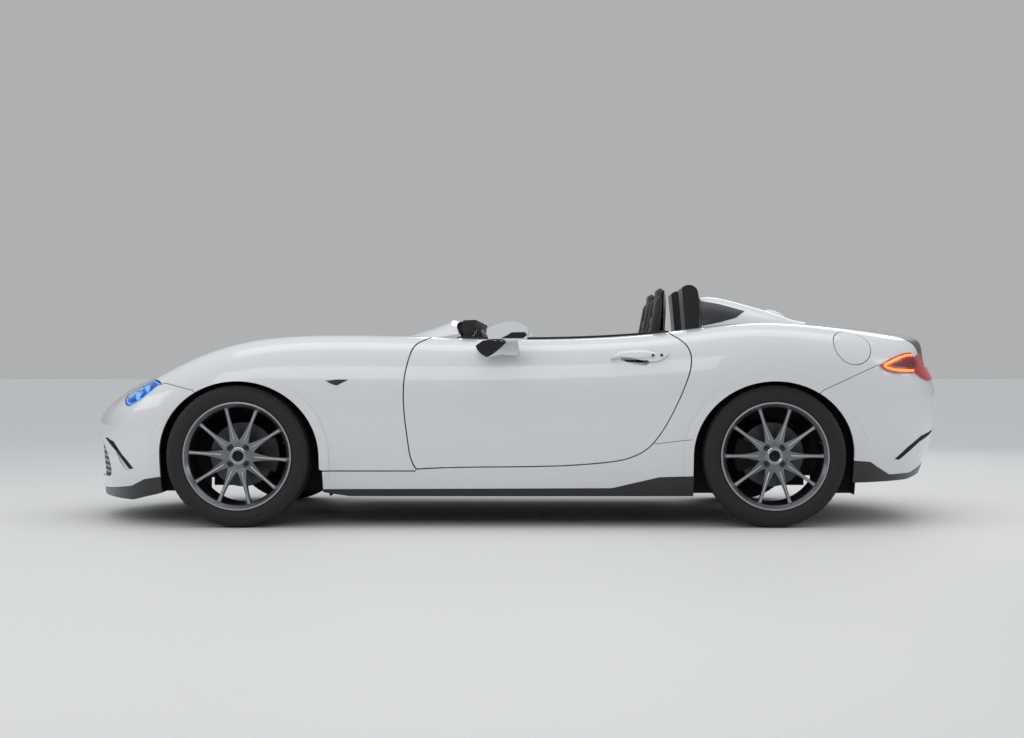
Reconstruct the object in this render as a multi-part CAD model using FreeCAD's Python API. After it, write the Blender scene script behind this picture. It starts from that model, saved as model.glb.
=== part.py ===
"""A two-seat speedster-style roadster: an open car with no roof or windscreen.

Frame: millimetres, +Z up, nose towards -X, so the car's left-hand side faces -Y. The origin is on
the ground under the middle of the car. Pieces that come in pairs are drawn on the +Y side and
mirrored. Lengths along the car are written as places: -1 nose, 0 front axle, 1 rear axle, 2 tail.
"""

import FreeCAD, Part
import math
import os

V = FreeCAD.Vector

# Driving dimensions
FRONT_OVERHANG = 785.0
WHEELBASE = 2310.0
REAR_OVERHANG = 820.0
HALF_WIDTH = 867.5
SHOULDER_HEIGHT = 880.0  # over the rear haunches
FRONT_TRACK = 1495.0
REAR_TRACK = 1505.0
TYRE_RADIUS = 308.0
TYRE_WIDTH = 205.0
GROUND_CLEARANCE = 131.0

# Panels
SHUT_GAP = 5.2  # open line between two panels
SEAT_GAP = 0.3  # between a piece and what it rests on
SKIN = 9.0  # sheet panel with its folded edge
BUMPER_WALL = 14.0
DIFFUSER_WALL = 40.0
QUARTER_WALL = 30.0  # rear quarter, outer and inner sheet together
OVERRUN = 3000.0  # cutting solids run this far past the car
LID_CUT = 500.0  # lids are cut out of the skin above this height
CABIN_INNER = 380.0  # side panels are cut out beyond this distance from the centre line
SLOT_Y = 420.0
LENS_RISE = 7.0
MEETING = 0.01  # ends closer than this meet
DEGREE = 3

# Wheel openings
ARCH_HALF_LENGTH = 349.0
ARCH_HEIGHT = 322.0  # above the axle
FLARE_WIDTH = 42.0  # raised band round the opening
FLARE_RISE = 5.0
FLARE_Y = 600.0
FLARE_FOOT = 215.0
FRONT_HOUSE_MARGIN = 37.0  # room for the steered wheel
REAR_HOUSE_MARGIN = 14.0
FRONT_HOUSE_Y = 455.0  # inner wall of the wheel house
REAR_HOUSE_Y = 592.0
HOUSE_WALL = 5.0
DAMPER_BAY = 185.0  # half length of the bay that is open to the spring and arms

# Cabin
CABIN_HALF_WIDTH = 690.0
COCKPIT_HALF_WIDTH = 645.0  # between the door tops
CABIN_FLOOR = 160.0
CABIN_TAPER = (560.0, 800.0)
FOOTWELL_LENGTH = 440.0  # ahead of the cockpit's front edge
SCUTTLE_LENGTH = 257.0
BLADE_ROOT = 14.0
BLADE_HOLLOW = 6.0
FLOOR_WALL = 22.0
TUNNEL_HALF_WIDTH = 110.0
TUNNEL_TOP = 400.0
TUNNEL_WALL = 6.0
BULKHEAD_WALL = 20.0
BULKHEAD_TOP = 790.0
RAIL_WIDTH = 60.0
RAIL_HEIGHT = 100.0
RAIL_FOOT = 460.0
BOOT_FLOOR_WALL = 15.0

# Doors
DOOR_RIM = 40.0  # outer layer, before the edges step in
DOOR_STEP = 25.0
HINGE_X = -350.0
PILLAR_WALL = 10.0
HANDLE_RISE = 16.0
GRIP_DEPTH = 20.0

# Boot lid's hinge arms, bent down and back under the deck
LID_ARM_Y = 180.0
LID_ARM_WIDTH = 10.0
LID_ARM_WALL = 8.0
LID_ARM_DROP = 60.0
LID_ARM_REACH = 62.0

# Lamps and openings in the bumpers
LAMP_DEPTH = 60.0
TAIL_LAMP_DEPTH = 40.0
GRILLE_WALL = 12.0

# Fuel flap
FLAP_RADIUS = 86.0
FLAP_GAP = 4.0
FLAP_WALL = 4.0
FLAP_WELL = 34.0
FLAP_HINGE_RADIUS = 10.0

# Rim and tyre
RIM_RADIUS = 233.0
RIM_WIDTH = 196.0
RIM_BED_RADIUS = 216.0
RIM_WALL = 9.0
FLANGE = 5.0
LIP_DEPTH = 14.0
LIP_STEP = 5.0
SPOKE_COUNT = 10
SPOKE_ROOT_WIDTH = 46.0
SPOKE_TIP_WIDTH = 17.0
FRONT_SPOKE_TURN = 4.4  # degrees, as the wheels stand
REAR_SPOKE_TURN = 0.0
SPOKE_DEPTHS = (32.0, 30.0, 26.0)  # at the hub, halfway and at the rim
SPOKE_SAG = 3.0
SPOKE_FACE = 80.0  # spoke face at the rim, outboard of the wheel's middle plane
HUB_RADIUS = 70.0
HUB_DISH = 14.0  # hub face behind the spoke face
HUB_CAP_RADIUS = 31.0
HUB_CAP_RISE = 3.0
HUB_BACK = 26.0  # hub's back, inboard of the wheel's middle plane
BOLT_CIRCLE_RADIUS = 50.0
BOLT_COUNT = 4
BOLT_POCKET_RADIUS = 11.5
BOLT_POCKET_DEPTH = 18.0
BOLT_HEAD_RADIUS = 9.0
TYRE_WALL = 10.0
BEAD_WIDTH = 20.0
GROOVE_WIDTH = 9.0
GROOVE_DEPTH = 7.0

# Brakes, knuckles and suspension
DISC_RADIUS = 140.0
DISC_WALL = 22.0
DISC_FACE = 48.0  # inboard of the wheel's middle plane
HAT_RADIUS = 76.0
CALIPER_ARC = 56.0  # degrees
CALIPER_DEPTH = 48.0
CALIPER_RIM = 22.0
CALIPER_CHEEK = 42.0
CALIPER_WALL = 20.0
BRACKET_WALL = 22.0
PAD_CLEARANCE = 3.0
STUB_RADIUS = 60.0
KINGPIN_Y = 652.0
KINGPIN_RADIUS = 17.0
BALL_RADIUS = 21.0
BALL_RISE = 122.0  # ball joints above and below the axle
ARM_ROOT_Y = 345.0
ARM_SPREAD = 150.0
ARM_RADIUS = 13.0
BUSH_RADIUS = 20.0
BUSH_LENGTH = 50.0
CROSSMEMBER_HALF_LENGTH = 190.0
CROSSMEMBER_FOOT = 150.0
CROSSMEMBER_HEIGHT = 40.0
TOWER_WALL = 43.0
TOWER_HALF_LENGTH = 60.0
DAMPER_Y = 520.0
DAMPER_RADIUS = 27.0
DAMPER_TOP = 700.0
SPRING_RADIUS = 50.0
SPRING_LENGTH = 200.0
SPRING_MARGIN = 20.0
DAMPER_SHIFT = 60.0  # rear damper behind the half shaft
SHAFT_RADIUS = 18.0
FINAL_DRIVE_RADIUS = 95.0

# Engine
ENGINE_LENGTH = 540.0
ENGINE_WIDTH = 440.0
ENGINE_HEIGHT = 480.0

# Seats, dashboard and controls
SEAT_Y = 360.0
SEAT_WIDTH = 500.0
BOLSTER_WIDTH = 62.0
SEAT_RAIL_WIDTH = 400.0
POD_WIDTH = 240.0
DASH_MARGIN = 22.0
CONSOLE_HALF_WIDTH = 84.0
LEVER_RADIUS = 9.0
LEVER_LENGTH = 95.0
KNOB_RADIUS = 24.0
STEERING_RADIUS = 178.0
STEERING_GRIP = 14.0
STEERING_TILT = 24.0  # degrees, column above level
BOSS_RADIUS = 48.0
BOSS_DEPTH = 50.0
STEERING_SPOKE_TURNS = (0.0, 100.0, 260.0)  # degrees from straight down
STEERING_SPOKE_WIDTH = 30.0
STEERING_SPOKE_WALL = 10.0
COLUMN_RADIUS = 30.0
COLUMN_LENGTH = 250.0
MIRROR_Y = 862.0
MIRROR_WIDTH = 138.0
MIRROR_FOOT_Y = 780.0
MIRROR_FOOT_WIDTH = 110.0

# Places worked out from them
LENGTH = FRONT_OVERHANG + WHEELBASE + REAR_OVERHANG
FRONT_AXLE_X = FRONT_OVERHANG - LENGTH / 2
REAR_AXLE_X = FRONT_AXLE_X + WHEELBASE
FRONT_WHEEL_Y = FRONT_TRACK / 2
REAR_WHEEL_Y = REAR_TRACK / 2

# Body surface
# Net of control points, rib by rib from nose to tail; each rib runs from the base up the flank,
# over the shoulder and in to the spine. Entries are (place, share of half width, share of height).
NOSE_RIB_SHARES = (
    (-0.965, 0.0, 0.114), (-0.980, 0.0, 0.205), (-0.992, 0.0, 0.307), (-1.000, 0.0, 0.409),
    (-1.000, 0.0, 0.477), (-0.998, 0.0, 0.510), (-0.958, 0.0, 0.556), (-0.880, 0.0, 0.622),
    (-0.736, 0.0, 0.710), (-0.545, 0.0, 0.773), (-0.315, 0.0, 0.818), (-0.099, 0.0, 0.860),
)
NOSE_SIDE_SHARES = (0.16, 0.16, 0.16, 0.16, 0.16, 0.16, 0.165, 0.17, 0.15, 0.105, 0.055, 0.0)
NOSE_HALF_SHARES = (
    (-0.845, 0.46, 0.114), (-0.860, 0.46, 0.205), (-0.872, 0.46, 0.307), (-0.880, 0.46, 0.409),
    (-0.885, 0.46, 0.470), (-0.878, 0.46, 0.512), (-0.846, 0.45, 0.565), (-0.787, 0.43, 0.628),
    (-0.659, 0.37, 0.706), (-0.475, 0.26, 0.778), (-0.264, 0.13, 0.824), (-0.035, 0.0, 0.869),
)
NOSE_CORNER_SHARES = (
    (-0.672, 0.70, 0.114), (-0.710, 0.725, 0.205), (-0.736, 0.735, 0.318), (-0.748, 0.74, 0.432),
    (-0.746, 0.74, 0.511), (-0.729, 0.73, 0.574), (-0.691, 0.70, 0.631), (-0.634, 0.645, 0.682),
    (-0.525, 0.52, 0.727), (-0.366, 0.35, 0.795), (-0.188, 0.17, 0.841), (0.005, 0.0, 0.880),
)
# Side ribs: (outer place, spine place, width shares, height shares)
SIDE_RIB_SHARES = (
    (-0.49, 0.023,
     (0.80, 0.865, 0.895, 0.905, 0.900, 0.875, 0.81, 0.70, 0.52, 0.34, 0.16, 0.0),
     (0.114, 0.20, 0.33, 0.47, 0.58, 0.66, 0.725, 0.775, 0.812, 0.845, 0.870, 0.886)),
    (-0.26, 0.040,
     (0.82, 0.88, 0.935, 0.960, 0.960, 0.935, 0.87, 0.75, 0.56, 0.37, 0.18, 0.0),
     (0.114, 0.20, 0.34, 0.52, 0.65, 0.745, 0.82, 0.868, 0.864, 0.876, 0.887, 0.893)),
    (0.0, 0.066,
     (0.83, 0.895, 0.955, 0.988, 0.990, 0.965, 0.90, 0.77, 0.57, 0.38, 0.19, 0.0),
     (0.114, 0.20, 0.34, 0.54, 0.70, 0.81, 0.885, 0.93, 0.90, 0.895, 0.90, 0.903)),
    (0.09, 0.118,
     (0.85, 0.905, 0.96, 0.99, 0.99, 0.96, 0.90, 0.775, 0.58, 0.38, 0.19, 0.0),
     (0.114, 0.20, 0.34, 0.55, 0.715, 0.835, 0.91, 0.953, 0.925, 0.915, 0.917, 0.918)),
    (0.20, 0.20,
     (0.87, 0.915, 0.955, 0.975, 0.972, 0.94, 0.885, 0.77, 0.58, 0.38, 0.19, 0.0),
     (0.114, 0.20, 0.34, 0.55, 0.72, 0.84, 0.912, 0.953, 0.94, 0.935, 0.937, 0.938)),
    (0.33, 0.33,
     (0.88, 0.92, 0.95, 0.962, 0.957, 0.925, 0.87, 0.765, 0.58, 0.38, 0.19, 0.0),
     (0.114, 0.20, 0.34, 0.55, 0.72, 0.84, 0.905, 0.94, 0.945, 0.945, 0.947, 0.948)),
    (0.48, 0.48,
     (0.885, 0.925, 0.95, 0.958, 0.95, 0.92, 0.865, 0.765, 0.58, 0.38, 0.19, 0.0),
     (0.114, 0.20, 0.34, 0.55, 0.72, 0.84, 0.90, 0.925, 0.93, 0.93, 0.93, 0.93)),
    (0.66, 0.66,
     (0.885, 0.925, 0.955, 0.966, 0.96, 0.93, 0.875, 0.77, 0.58, 0.38, 0.19, 0.0),
     (0.114, 0.20, 0.34, 0.56, 0.73, 0.85, 0.905, 0.93, 0.935, 0.935, 0.935, 0.935)),
    (0.81, 0.81,
     (0.88, 0.93, 0.965, 0.985, 0.982, 0.95, 0.89, 0.775, 0.58, 0.38, 0.19, 0.0),
     (0.114, 0.20, 0.35, 0.57, 0.75, 0.875, 0.935, 0.96, 0.96, 0.96, 0.96, 0.96)),
    (0.91, 0.91,
     (0.87, 0.925, 0.97, 0.997, 0.997, 0.965, 0.90, 0.775, 0.58, 0.38, 0.19, 0.0),
     (0.114, 0.21, 0.36, 0.585, 0.775, 0.91, 0.98, 1.005, 0.995, 0.985, 0.98, 0.98)),
    (1.0, 0.978,
     (0.86, 0.92, 0.97, 1.0, 1.002, 0.965, 0.895, 0.765, 0.57, 0.38, 0.19, 0.0),
     (0.114, 0.22, 0.37, 0.59, 0.785, 0.92, 0.99, 1.015, 1.003, 0.995, 0.993, 0.993)),
    (1.25, 1.08,
     (0.84, 0.90, 0.955, 0.985, 0.985, 0.945, 0.87, 0.745, 0.56, 0.37, 0.18, 0.0),
     (0.114, 0.23, 0.38, 0.60, 0.785, 0.915, 0.978, 0.998, 1.0, 1.0, 1.005, 1.008)),
    (1.49, 1.19,
     (0.80, 0.865, 0.92, 0.948, 0.945, 0.90, 0.83, 0.715, 0.54, 0.36, 0.18, 0.0),
     (0.114, 0.24, 0.39, 0.60, 0.77, 0.885, 0.948, 0.974, 0.987, 0.996, 1.003, 1.008)),
)
TAIL_CORNER_SHARES = (
    (1.66, 0.70, 0.114), (1.70, 0.735, 0.24), (1.755, 0.77, 0.386), (1.795, 0.79, 0.59),
    (1.79, 0.785, 0.727), (1.765, 0.765, 0.83), (1.753, 0.72, 0.902), (1.686, 0.63, 0.945),
    (1.565, 0.48, 0.975), (1.44, 0.32, 0.993), (1.357, 0.16, 1.0), (1.27, 0.0, 1.005),
)
TAIL_HALF_SHARES = (
    (1.81, 0.46, 0.114), (1.87, 0.49, 0.25), (1.936, 0.51, 0.386), (1.970, 0.52, 0.568),
    (1.964, 0.52, 0.693), (1.891, 0.50, 0.795), (1.896, 0.48, 0.902), (1.845, 0.44, 0.938),
    (1.70, 0.33, 0.968), (1.54, 0.22, 0.986), (1.418, 0.11, 0.997), (1.332, 0.0, 1.0),
)
TAIL_RIB_SHARES = (
    (1.88, 0.0, 0.114), (1.93, 0.0, 0.26), (1.980, 0.0, 0.386), (2.000, 0.0, 0.568),
    (2.003, 0.0, 0.693), (1.912, 0.0, 0.795), (1.936, 0.0, 0.912), (1.891, 0.0, 0.945),
    (1.747, 0.0, 0.966), (1.588, 0.0, 0.983), (1.466, 0.0, 0.994), (1.381, 0.0, 0.998),
)
TAIL_SIDE_SHARES = (0.21, 0.225, 0.23, 0.23, 0.23, 0.23, 0.22, 0.20, 0.15, 0.10, 0.05, 0.0)
# How far each point of a side rib has moved from the outer place to the spine place
RIB_LEAN_SHARES = (0.0, 0.0, 0.0, 0.0, 0.0, 0.0, 0.02, 0.1, 0.3, 0.55, 0.8, 1.0)

# Panel outlines in side view: (place, share of height)
DOOR_FRONT_SHARES = (
    (0.354, 1.057), (0.348, 0.922), (0.331, 0.897), (0.318, 0.828), (0.310, 0.727), (0.309, 0.616),
    (0.312, 0.516), (0.317, 0.415), (0.324, 0.324), (0.332, 0.285),
)
DOOR_FOOT_SHARES = ((0.332, 0.285), (0.533, 0.297), (0.639, 0.307), (0.703, 0.324))
DOOR_REAR_SHARES = (
    (0.703, 0.324), (0.742, 0.353), (0.763, 0.386), (0.789, 0.465), (0.818, 0.605), (0.836, 0.717),
    (0.844, 0.794), (0.844, 0.840), (0.840, 0.874), (0.830, 0.908), (0.814, 0.938), (0.802, 1.057),
)
WING_FRONT_SHARES = ((-0.692, 1.057), (-0.692, 0.623), (-0.418, 0.706), (-0.250, 0.672), (-0.162, 0.614))
BUMPER_CREST_SHARES = ((-1.054, 1.057),)
WING_FOOT_SHARES = ((0.0, 0.46), (0.156, 0.277), (0.332, 0.277), (0.332, 0.285))
SKIRT_TOP_SHARES = ((0.156, 0.183), (0.697, 0.189), (0.786, 0.244), (0.850, 0.249))
SKIRT_FOOT_SHARES = ((0.850, 0.149), (0.205, 0.149), (0.156, 0.168))
SILL_FRONT_SHARES = (
    (0.156, 0.183), (0.156, 0.2742), (0.3305, 0.2742), (0.334, 0.298), (0.358, 0.298), (0.358, 1.057),
    (2.064, 1.057),
)
BUMPER_FOOT_SHARES = (
    (-1.054, 0.132), (-0.990, 0.142), (-0.636, 0.189), (-0.546, 0.227), (-0.458, 0.240), (-0.392, 0.243),
)
SPLITTER_FOOT_SHARES = ((-1.054, 0.118), (-0.636, 0.118), (-0.453, 0.160), (-0.392, 0.166))
TAIL_SPLIT_SHARES = (
    (1.186, 0.625), (1.254, 0.673), (1.396, 0.732), (1.546, 0.792), (1.613, 0.805), (1.802, 0.784),
    (2.064, 0.784),
)
TAIL_FOOT_SHARES = (
    (1.418, 0.324), (1.518, 0.315), (1.638, 0.247), (1.781, 0.247), (1.863, 0.276), (1.940, 0.309),
    (2.064, 0.352),
)
DIFFUSER_FOOT_SHARES = ((1.418, 0.212), (1.762, 0.215), (1.947, 0.245), (2.064, 0.268))
LAMP_FOOT_SHARES = ((-0.441, 0.705), (-0.500, 0.664), (-0.550, 0.630), (-0.601, 0.603), (-0.635, 0.590))
LAMP_NOSE_SHARES = ((-0.635, 0.590), (-0.676, 0.599), (-0.689, 0.639))
LAMP_TOP_SHARES = ((-0.689, 0.639), (-0.615, 0.686), (-0.539, 0.720), (-0.441, 0.705))
TAIL_LAMP_FOOT_SHARES = ((1.565, 0.792), (1.627, 0.759), (1.702, 0.753), (1.788, 0.756))
TAIL_LAMP_REAR_SHARES = ((1.788, 0.756), (1.950, 0.772), (1.950, 0.775), (1.786, 0.832))
TAIL_LAMP_TOP_SHARES = ((1.786, 0.832), (1.768, 0.858))
TAIL_LAMP_CREST_SHARES = ((1.768, 0.858), (1.668, 0.840), (1.565, 0.792))
FRONT_SLOT_SHARES = (
    (-0.850, 0.420), (-0.759, 0.411), (-0.680, 0.339), (-0.614, 0.276), (-0.652, 0.270), (-0.716, 0.322),
    (-0.785, 0.394),
)
REAR_SLOT_SHARES = (
    (1.660, 0.322), (1.832, 0.438), (1.990, 0.468), (1.990, 0.448), (1.848, 0.412), (1.694, 0.318),
)
HANDLE_SHARES = (
    (0.695, 0.824), (0.703, 0.849), (0.723, 0.866), (0.759, 0.870), (0.802, 0.851), (0.794, 0.830),
    (0.745, 0.822), (0.695, 0.824),
)
GRIP_SHARES = (
    (0.714, 0.820), (0.722, 0.845), (0.748, 0.850), (0.765, 0.838), (0.766, 0.806), (0.740, 0.798),
    (0.714, 0.820),
)

# Outlines in plan, from the centre line outwards: (place, share of half width)
BONNET_FRONT_SHARES = ((-0.929, 0.0), (-0.914, 0.207), (-0.857, 0.415), (-0.736, 0.565))
BONNET_SIDE_SHARES = (
    (-0.736, 0.565), (-0.494, 0.628), (-0.162, 0.652), (0.075, 0.690), (0.179, 0.715), (0.264, 0.733),
)
BONNET_REAR_SHARES = ((0.264, 0.733), (0.244, 0.346), (0.236, 0.0))
COCKPIT_FRONT_SHARE = 0.378
COCKPIT_REAR_SHARE = 0.811
REAR_BULKHEAD_SHARE = 0.837
DECK_FRONT_SHARE = 0.832
DECK_REAR_SHARE = 1.296
LID_FRONT_SHARE = 1.301
LID_HINGE_SHARES = (1.259, 0.984)
DASH_REACH_SHARE = 0.415  # the hood rises behind the wind deflector
LID_REAR_SHARE = 2.064
MOUTH_BACK_SHARE = -0.62
DECK_HALF_SHARES = (0.738, 0.651)
LID_HALF_SHARES = (0.646, 0.576)
LID_FOOT_SHARE = 0.784
BOOT_REAR_SHARE = 1.81
SPLITTER_BACK_SHARE = -0.672
FRONT_RAIL_SHARE = -0.60
REAR_RAIL_SHARE = 1.78

# Mouth, seen from the front: (share of half width, share of height)
MOUTH_FOOT_SHARES = ((-0.46, 0.222), (0.0, 0.212), (0.46, 0.222))
MOUTH_END_SHARES = ((0.46, 0.222), (0.585, 0.262), (0.545, 0.345))
MOUTH_TOP_SHARES = ((0.545, 0.345), (0.34, 0.425), (0.0, 0.442), (-0.34, 0.425), (-0.545, 0.345))

# Fairing behind each seat: (place, half width, top, foot), widths as shares of the seat width
FAIRING_SHARES = (
    (0.876, 0.30, 1.140, 0.955), (0.898, 0.30, 1.144, 0.965), (0.940, 0.284, 1.122, 0.968),
    (0.985, 0.248, 1.090, 0.970), (1.100, 0.192, 1.048, 0.972), (1.235, 0.124, 1.016, 0.972),
)
STOP_LAMP_SHARES = (
    (1.02, 0.02, 1.03, 0.98), (1.06, 0.06, 1.085, 0.98), (1.12, 0.075, 1.088, 0.98), (1.20, 0.05, 1.04, 0.98),
)
# Height of an arched section across its half width
ARCH_SHARES = (
    (-1.0, 0.0), (-0.86, 0.62), (-0.45, 0.955), (0.0, 1.0), (0.45, 0.955), (0.86, 0.62), (1.0, 0.0),
)

# Wind deflector: (share of half width, foot place, foot, crest place, crest, tip place, tip)
DEFLECTOR_SHARES = (
    (-0.728, 0.335, 0.932, 0.405, 0.952, 0.412, 0.940), (-0.64, 0.306, 0.934, 0.392, 0.992, 0.402, 0.982),
    (-0.40, 0.276, 0.935, 0.392, 1.028, 0.403, 1.018), (0.0, 0.268, 0.936, 0.394, 1.036, 0.405, 1.026),
    (0.40, 0.276, 0.935, 0.392, 1.028, 0.403, 1.018), (0.64, 0.306, 0.934, 0.392, 0.992, 0.402, 0.982),
    (0.728, 0.335, 0.932, 0.405, 0.952, 0.412, 0.940),
)

# Cabin profiles in side view
DASH_TOP_SHARES = ((0.282, 0.898), (0.379, 0.909))
DASH_HOOD_SHARES = ((0.379, 0.909), (0.385, 0.975), (0.402, 1.010), (0.424, 1.020), (0.440, 1.021))
DASH_FACE_SHARES = ((0.440, 1.021), (0.438, 0.990), (0.429, 0.937), (0.418, 0.795))
DASH_FOOT_SHARES = ((0.418, 0.795), (0.365, 0.636), (0.282, 0.636))
LEVER_SHARES = ((0.540, 0.545),)
CONSOLE_SHARES = ((0.395, 0.700), (0.430, 0.640), (0.520, 0.560), (0.640, 0.545), (0.700, 0.545))
SEAT_CUSHION_SHARES = ((0.542, 0.341), (0.534, 0.409), (0.551, 0.458), (0.616, 0.445), (0.698, 0.398))
SEAT_BACK_SHARES = (
    (0.698, 0.398), (0.724, 0.477), (0.757, 0.795), (0.775, 1.091), (0.781, 1.172), (0.792, 1.206),
)
SEAT_TOP_SHARES = ((0.792, 1.206), (0.803, 1.206), (0.808, 1.165))
SEAT_REAR_SHARES = ((0.808, 1.165), (0.803, 0.977), (0.785, 0.568), (0.767, 0.341))
BOLSTER_CUSHION_SHARES = (
    (0.542, 0.341), (0.530, 0.420), (0.550, 0.500), (0.625, 0.497), (0.694, 0.462),
)
BOLSTER_BACK_SHARES = (
    (0.694, 0.462), (0.724, 0.560), (0.745, 0.760), (0.757, 0.960), (0.762, 1.110), (0.772, 1.165),
)
BOLSTER_TOP_SHARES = ((0.772, 1.165), (0.781, 1.182), (0.792, 1.172), (0.797, 1.110))
BOLSTER_REAR_SHARES = ((0.797, 1.110), (0.797, 0.930), (0.780, 0.550), (0.767, 0.341))
SEAT_FOOT_SHARES = ((0.767, 0.341), (0.750, 0.261), (0.689, 0.244), (0.594, 0.256), (0.542, 0.341))
SEAT_BASE_SHARES = (0.580, 0.741)
SEAT_BASE_SHARE = 0.30
POD_FRONT_SHARES = ((0.838, 1.188), (0.840, 1.131), (0.846, 0.940))
POD_REAR_SHARES = ((0.872, 0.940), (0.8725, 1.05), (0.872, 1.12), (0.869, 1.173))
POD_TOP_SHARES = ((0.869, 1.173), (0.859, 1.200), (0.846, 1.202), (0.838, 1.188))
MIRROR_TOP_SHARES = ((0.466, 0.967), (0.482, 0.986), (0.502, 1.002), (0.523, 1.000), (0.542, 0.958))
MIRROR_FOOT_SHARES = ((0.540, 0.920), (0.508, 0.909), (0.470, 0.917))
MIRROR_ARM_SHARES = (
    (0.458, 0.914), (0.500, 0.925), (0.521, 0.925), (0.525, 0.864), (0.521, 0.840), (0.490, 0.846),
    (0.466, 0.831), (0.450, 0.855), (0.444, 0.888),
)
STEERING_PLACE_SHARES = (0.4773, -0.415, 0.775)  # place, share of half width, share of height
FLAP_PLACE_SHARES = (1.4177, 0.891)
ENGINE_FRONT_SHARE = -0.22

# Tyre section: (share of sidewall height, share of half width)
SIDEWALL_SHARES = ((0.013, 0.946), (0.39, 1.0), (0.79, 0.966))
SHOULDER_SHARES = ((0.79, 0.966), (0.93, 0.898), (0.987, 0.761))
TREAD_SHARES = ((0.987, 0.761), (1.0, 0.0), (0.987, -0.761))
GROOVE_SHARES = (-0.62, -0.21, 0.21, 0.62)  # of the tyre's half width


def x_at(share):
    """Place along the car: -1 nose, 0 front axle, 1 rear axle, 2 tail."""
    if share < 0:
        return FRONT_AXLE_X + share * FRONT_OVERHANG
    if share > 1:
        return REAR_AXLE_X + (share - 1) * REAR_OVERHANG
    return FRONT_AXLE_X + share * WHEELBASE


def side_points(shares, y=0.0):
    """Points in side view, at one distance from the centre line."""
    return [V(x_at(place), y, height * SHOULDER_HEIGHT) for place, height in shares]


def plan_points(shares, side=1):
    """Points in plan on the ground, on the right-hand side or mirrored."""
    return [V(x_at(place), side * width * HALF_WIDTH, 0) for place, width in shares]


def front_points(shares, x):
    """Points seen from the front, at one place along the car."""
    return [V(x, width * HALF_WIDTH, height * SHOULDER_HEIGHT) for width, height in shares]


def mirrored(shape):
    return shape.mirror(V(0, 0, 0), V(0, 1, 0))


def curve(points):
    """A smooth curve through the points, or a line through two."""
    if len(points) == 2:
        return Part.makeLine(points[0], points[1])
    spline = Part.BSplineCurve()
    spline.interpolate(points)
    return spline.toShape()


def loop(runs):
    """A closed wire of smooth runs; straight lines join the ends that do not meet."""
    edges = []
    for here, after in zip(runs, runs[1:] + runs[:1]):
        edges.append(curve(here))
        if here[-1].distanceToPoint(after[0]) > MEETING:
            edges.append(Part.makeLine(here[-1], after[0]))
    return Part.Wire(edges)


def straight(points):
    """The points as a run of straight pieces."""
    return [list(ends) for ends in zip(points, points[1:])]


def grown(runs, axis, grow):
    """The runs with every point moved outwards across their plane's axis, corners kept sharp."""
    ring = []
    for point in sum(runs, []):
        if not ring or point.distanceToPoint(ring[-1]) > MEETING:
            ring.append(point)
    if ring[0].distanceToPoint(ring[-1]) < MEETING:
        ring.pop()
    area = V()
    for here, after in zip(ring, ring[1:] + ring[:1]):
        area += here.cross(after)
    outwards = grow if area.dot(axis) > 0 else -grow
    moved = []
    for before, here, after in zip(ring[-1:] + ring[:-1], ring, ring[1:] + ring[:1]):
        first = (here - before).normalize().cross(axis)
        second = (after - here).normalize().cross(axis)
        mitre = (first + second).normalize()
        moved.append(here + mitre * (outwards / mitre.dot(first)))

    def place(point):
        return moved[min(range(len(ring)), key=lambda k: ring[k].distanceToPoint(point))]

    return [[place(point) for point in run] for run in runs]


def prism(runs, travel, grow=0.0):
    """Solid swept along a vector from the flat outline that the runs close."""
    if grow:
        runs = grown(runs, travel / travel.Length, grow)
    solid = Part.Face(loop(runs)).extrude(travel)
    if solid.Volume < 0:
        solid.reverse()
    return solid


def side_prism(runs, grow=0.0, inner=0.0, outer=None):
    """Solid across the car from an outline in side view, from an inner distance outwards."""
    moved = [[point + V(0, inner - point.y, 0) for point in run] for run in runs]
    reach = OVERRUN if outer is None else outer - inner
    return prism(moved, V(0, reach, 0), grow)


def plan_prism(runs, foot, grow=0.0):
    """Solid from a height upwards, from an outline in plan."""
    moved = [[point + V(0, 0, foot) for point in run] for run in runs]
    return prism(moved, V(0, 0, OVERRUN), grow)


def block(x0, x1, y0, y1, z0, z1):
    return Part.makeBox(x1 - x0, y1 - y0, z1 - z0, V(x0, y0, z0))


def drum(centre, start, end, radius):
    """A plain cylinder across the car between two distances from its centre."""
    return Part.makeCylinder(radius, end - start, centre + V(0, start, 0), V(0, 1, 0))


def rod(start, end, radius):
    return Part.makeCylinder(radius, start.distanceToPoint(end), start, end - start)


def fused(shapes):
    return shapes[0].multiFuse(shapes[1:]).removeSplitter()


def whole(half):
    """A piece and its mirror image as one solid."""
    return half.fuse(mirrored(half)).removeSplitter()


def largest(shape):
    return max(shape.Solids, key=lambda solid: solid.Volume)


def save(name, shape):
    shape.exportStep("parts/" + name + ".step")


def save_pair(name, shape):
    save(name + "_right", shape)
    save(name + "_left", mirrored(shape))


# Body skin

def rib(shares, sides=None):
    """One rib of the net; the sides replace the width shares where they are given."""
    points = []
    for j, (place, side, height) in enumerate(shares):
        width = sides[j] if sides else side
        points.append(V(x_at(place), width * HALF_WIDTH, height * SHOULDER_HEIGHT))
    return points


def side_rib(outer, spine, widths, heights):
    """A rib of the flank, leaning from its outer place to its place on the spine."""
    points = []
    for lean, width, height in zip(RIB_LEAN_SHARES, widths, heights):
        x = x_at(outer) + lean * (x_at(spine) - x_at(outer))
        points.append(V(x, width * HALF_WIDTH, height * SHOULDER_HEIGHT))
    return points


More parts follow.
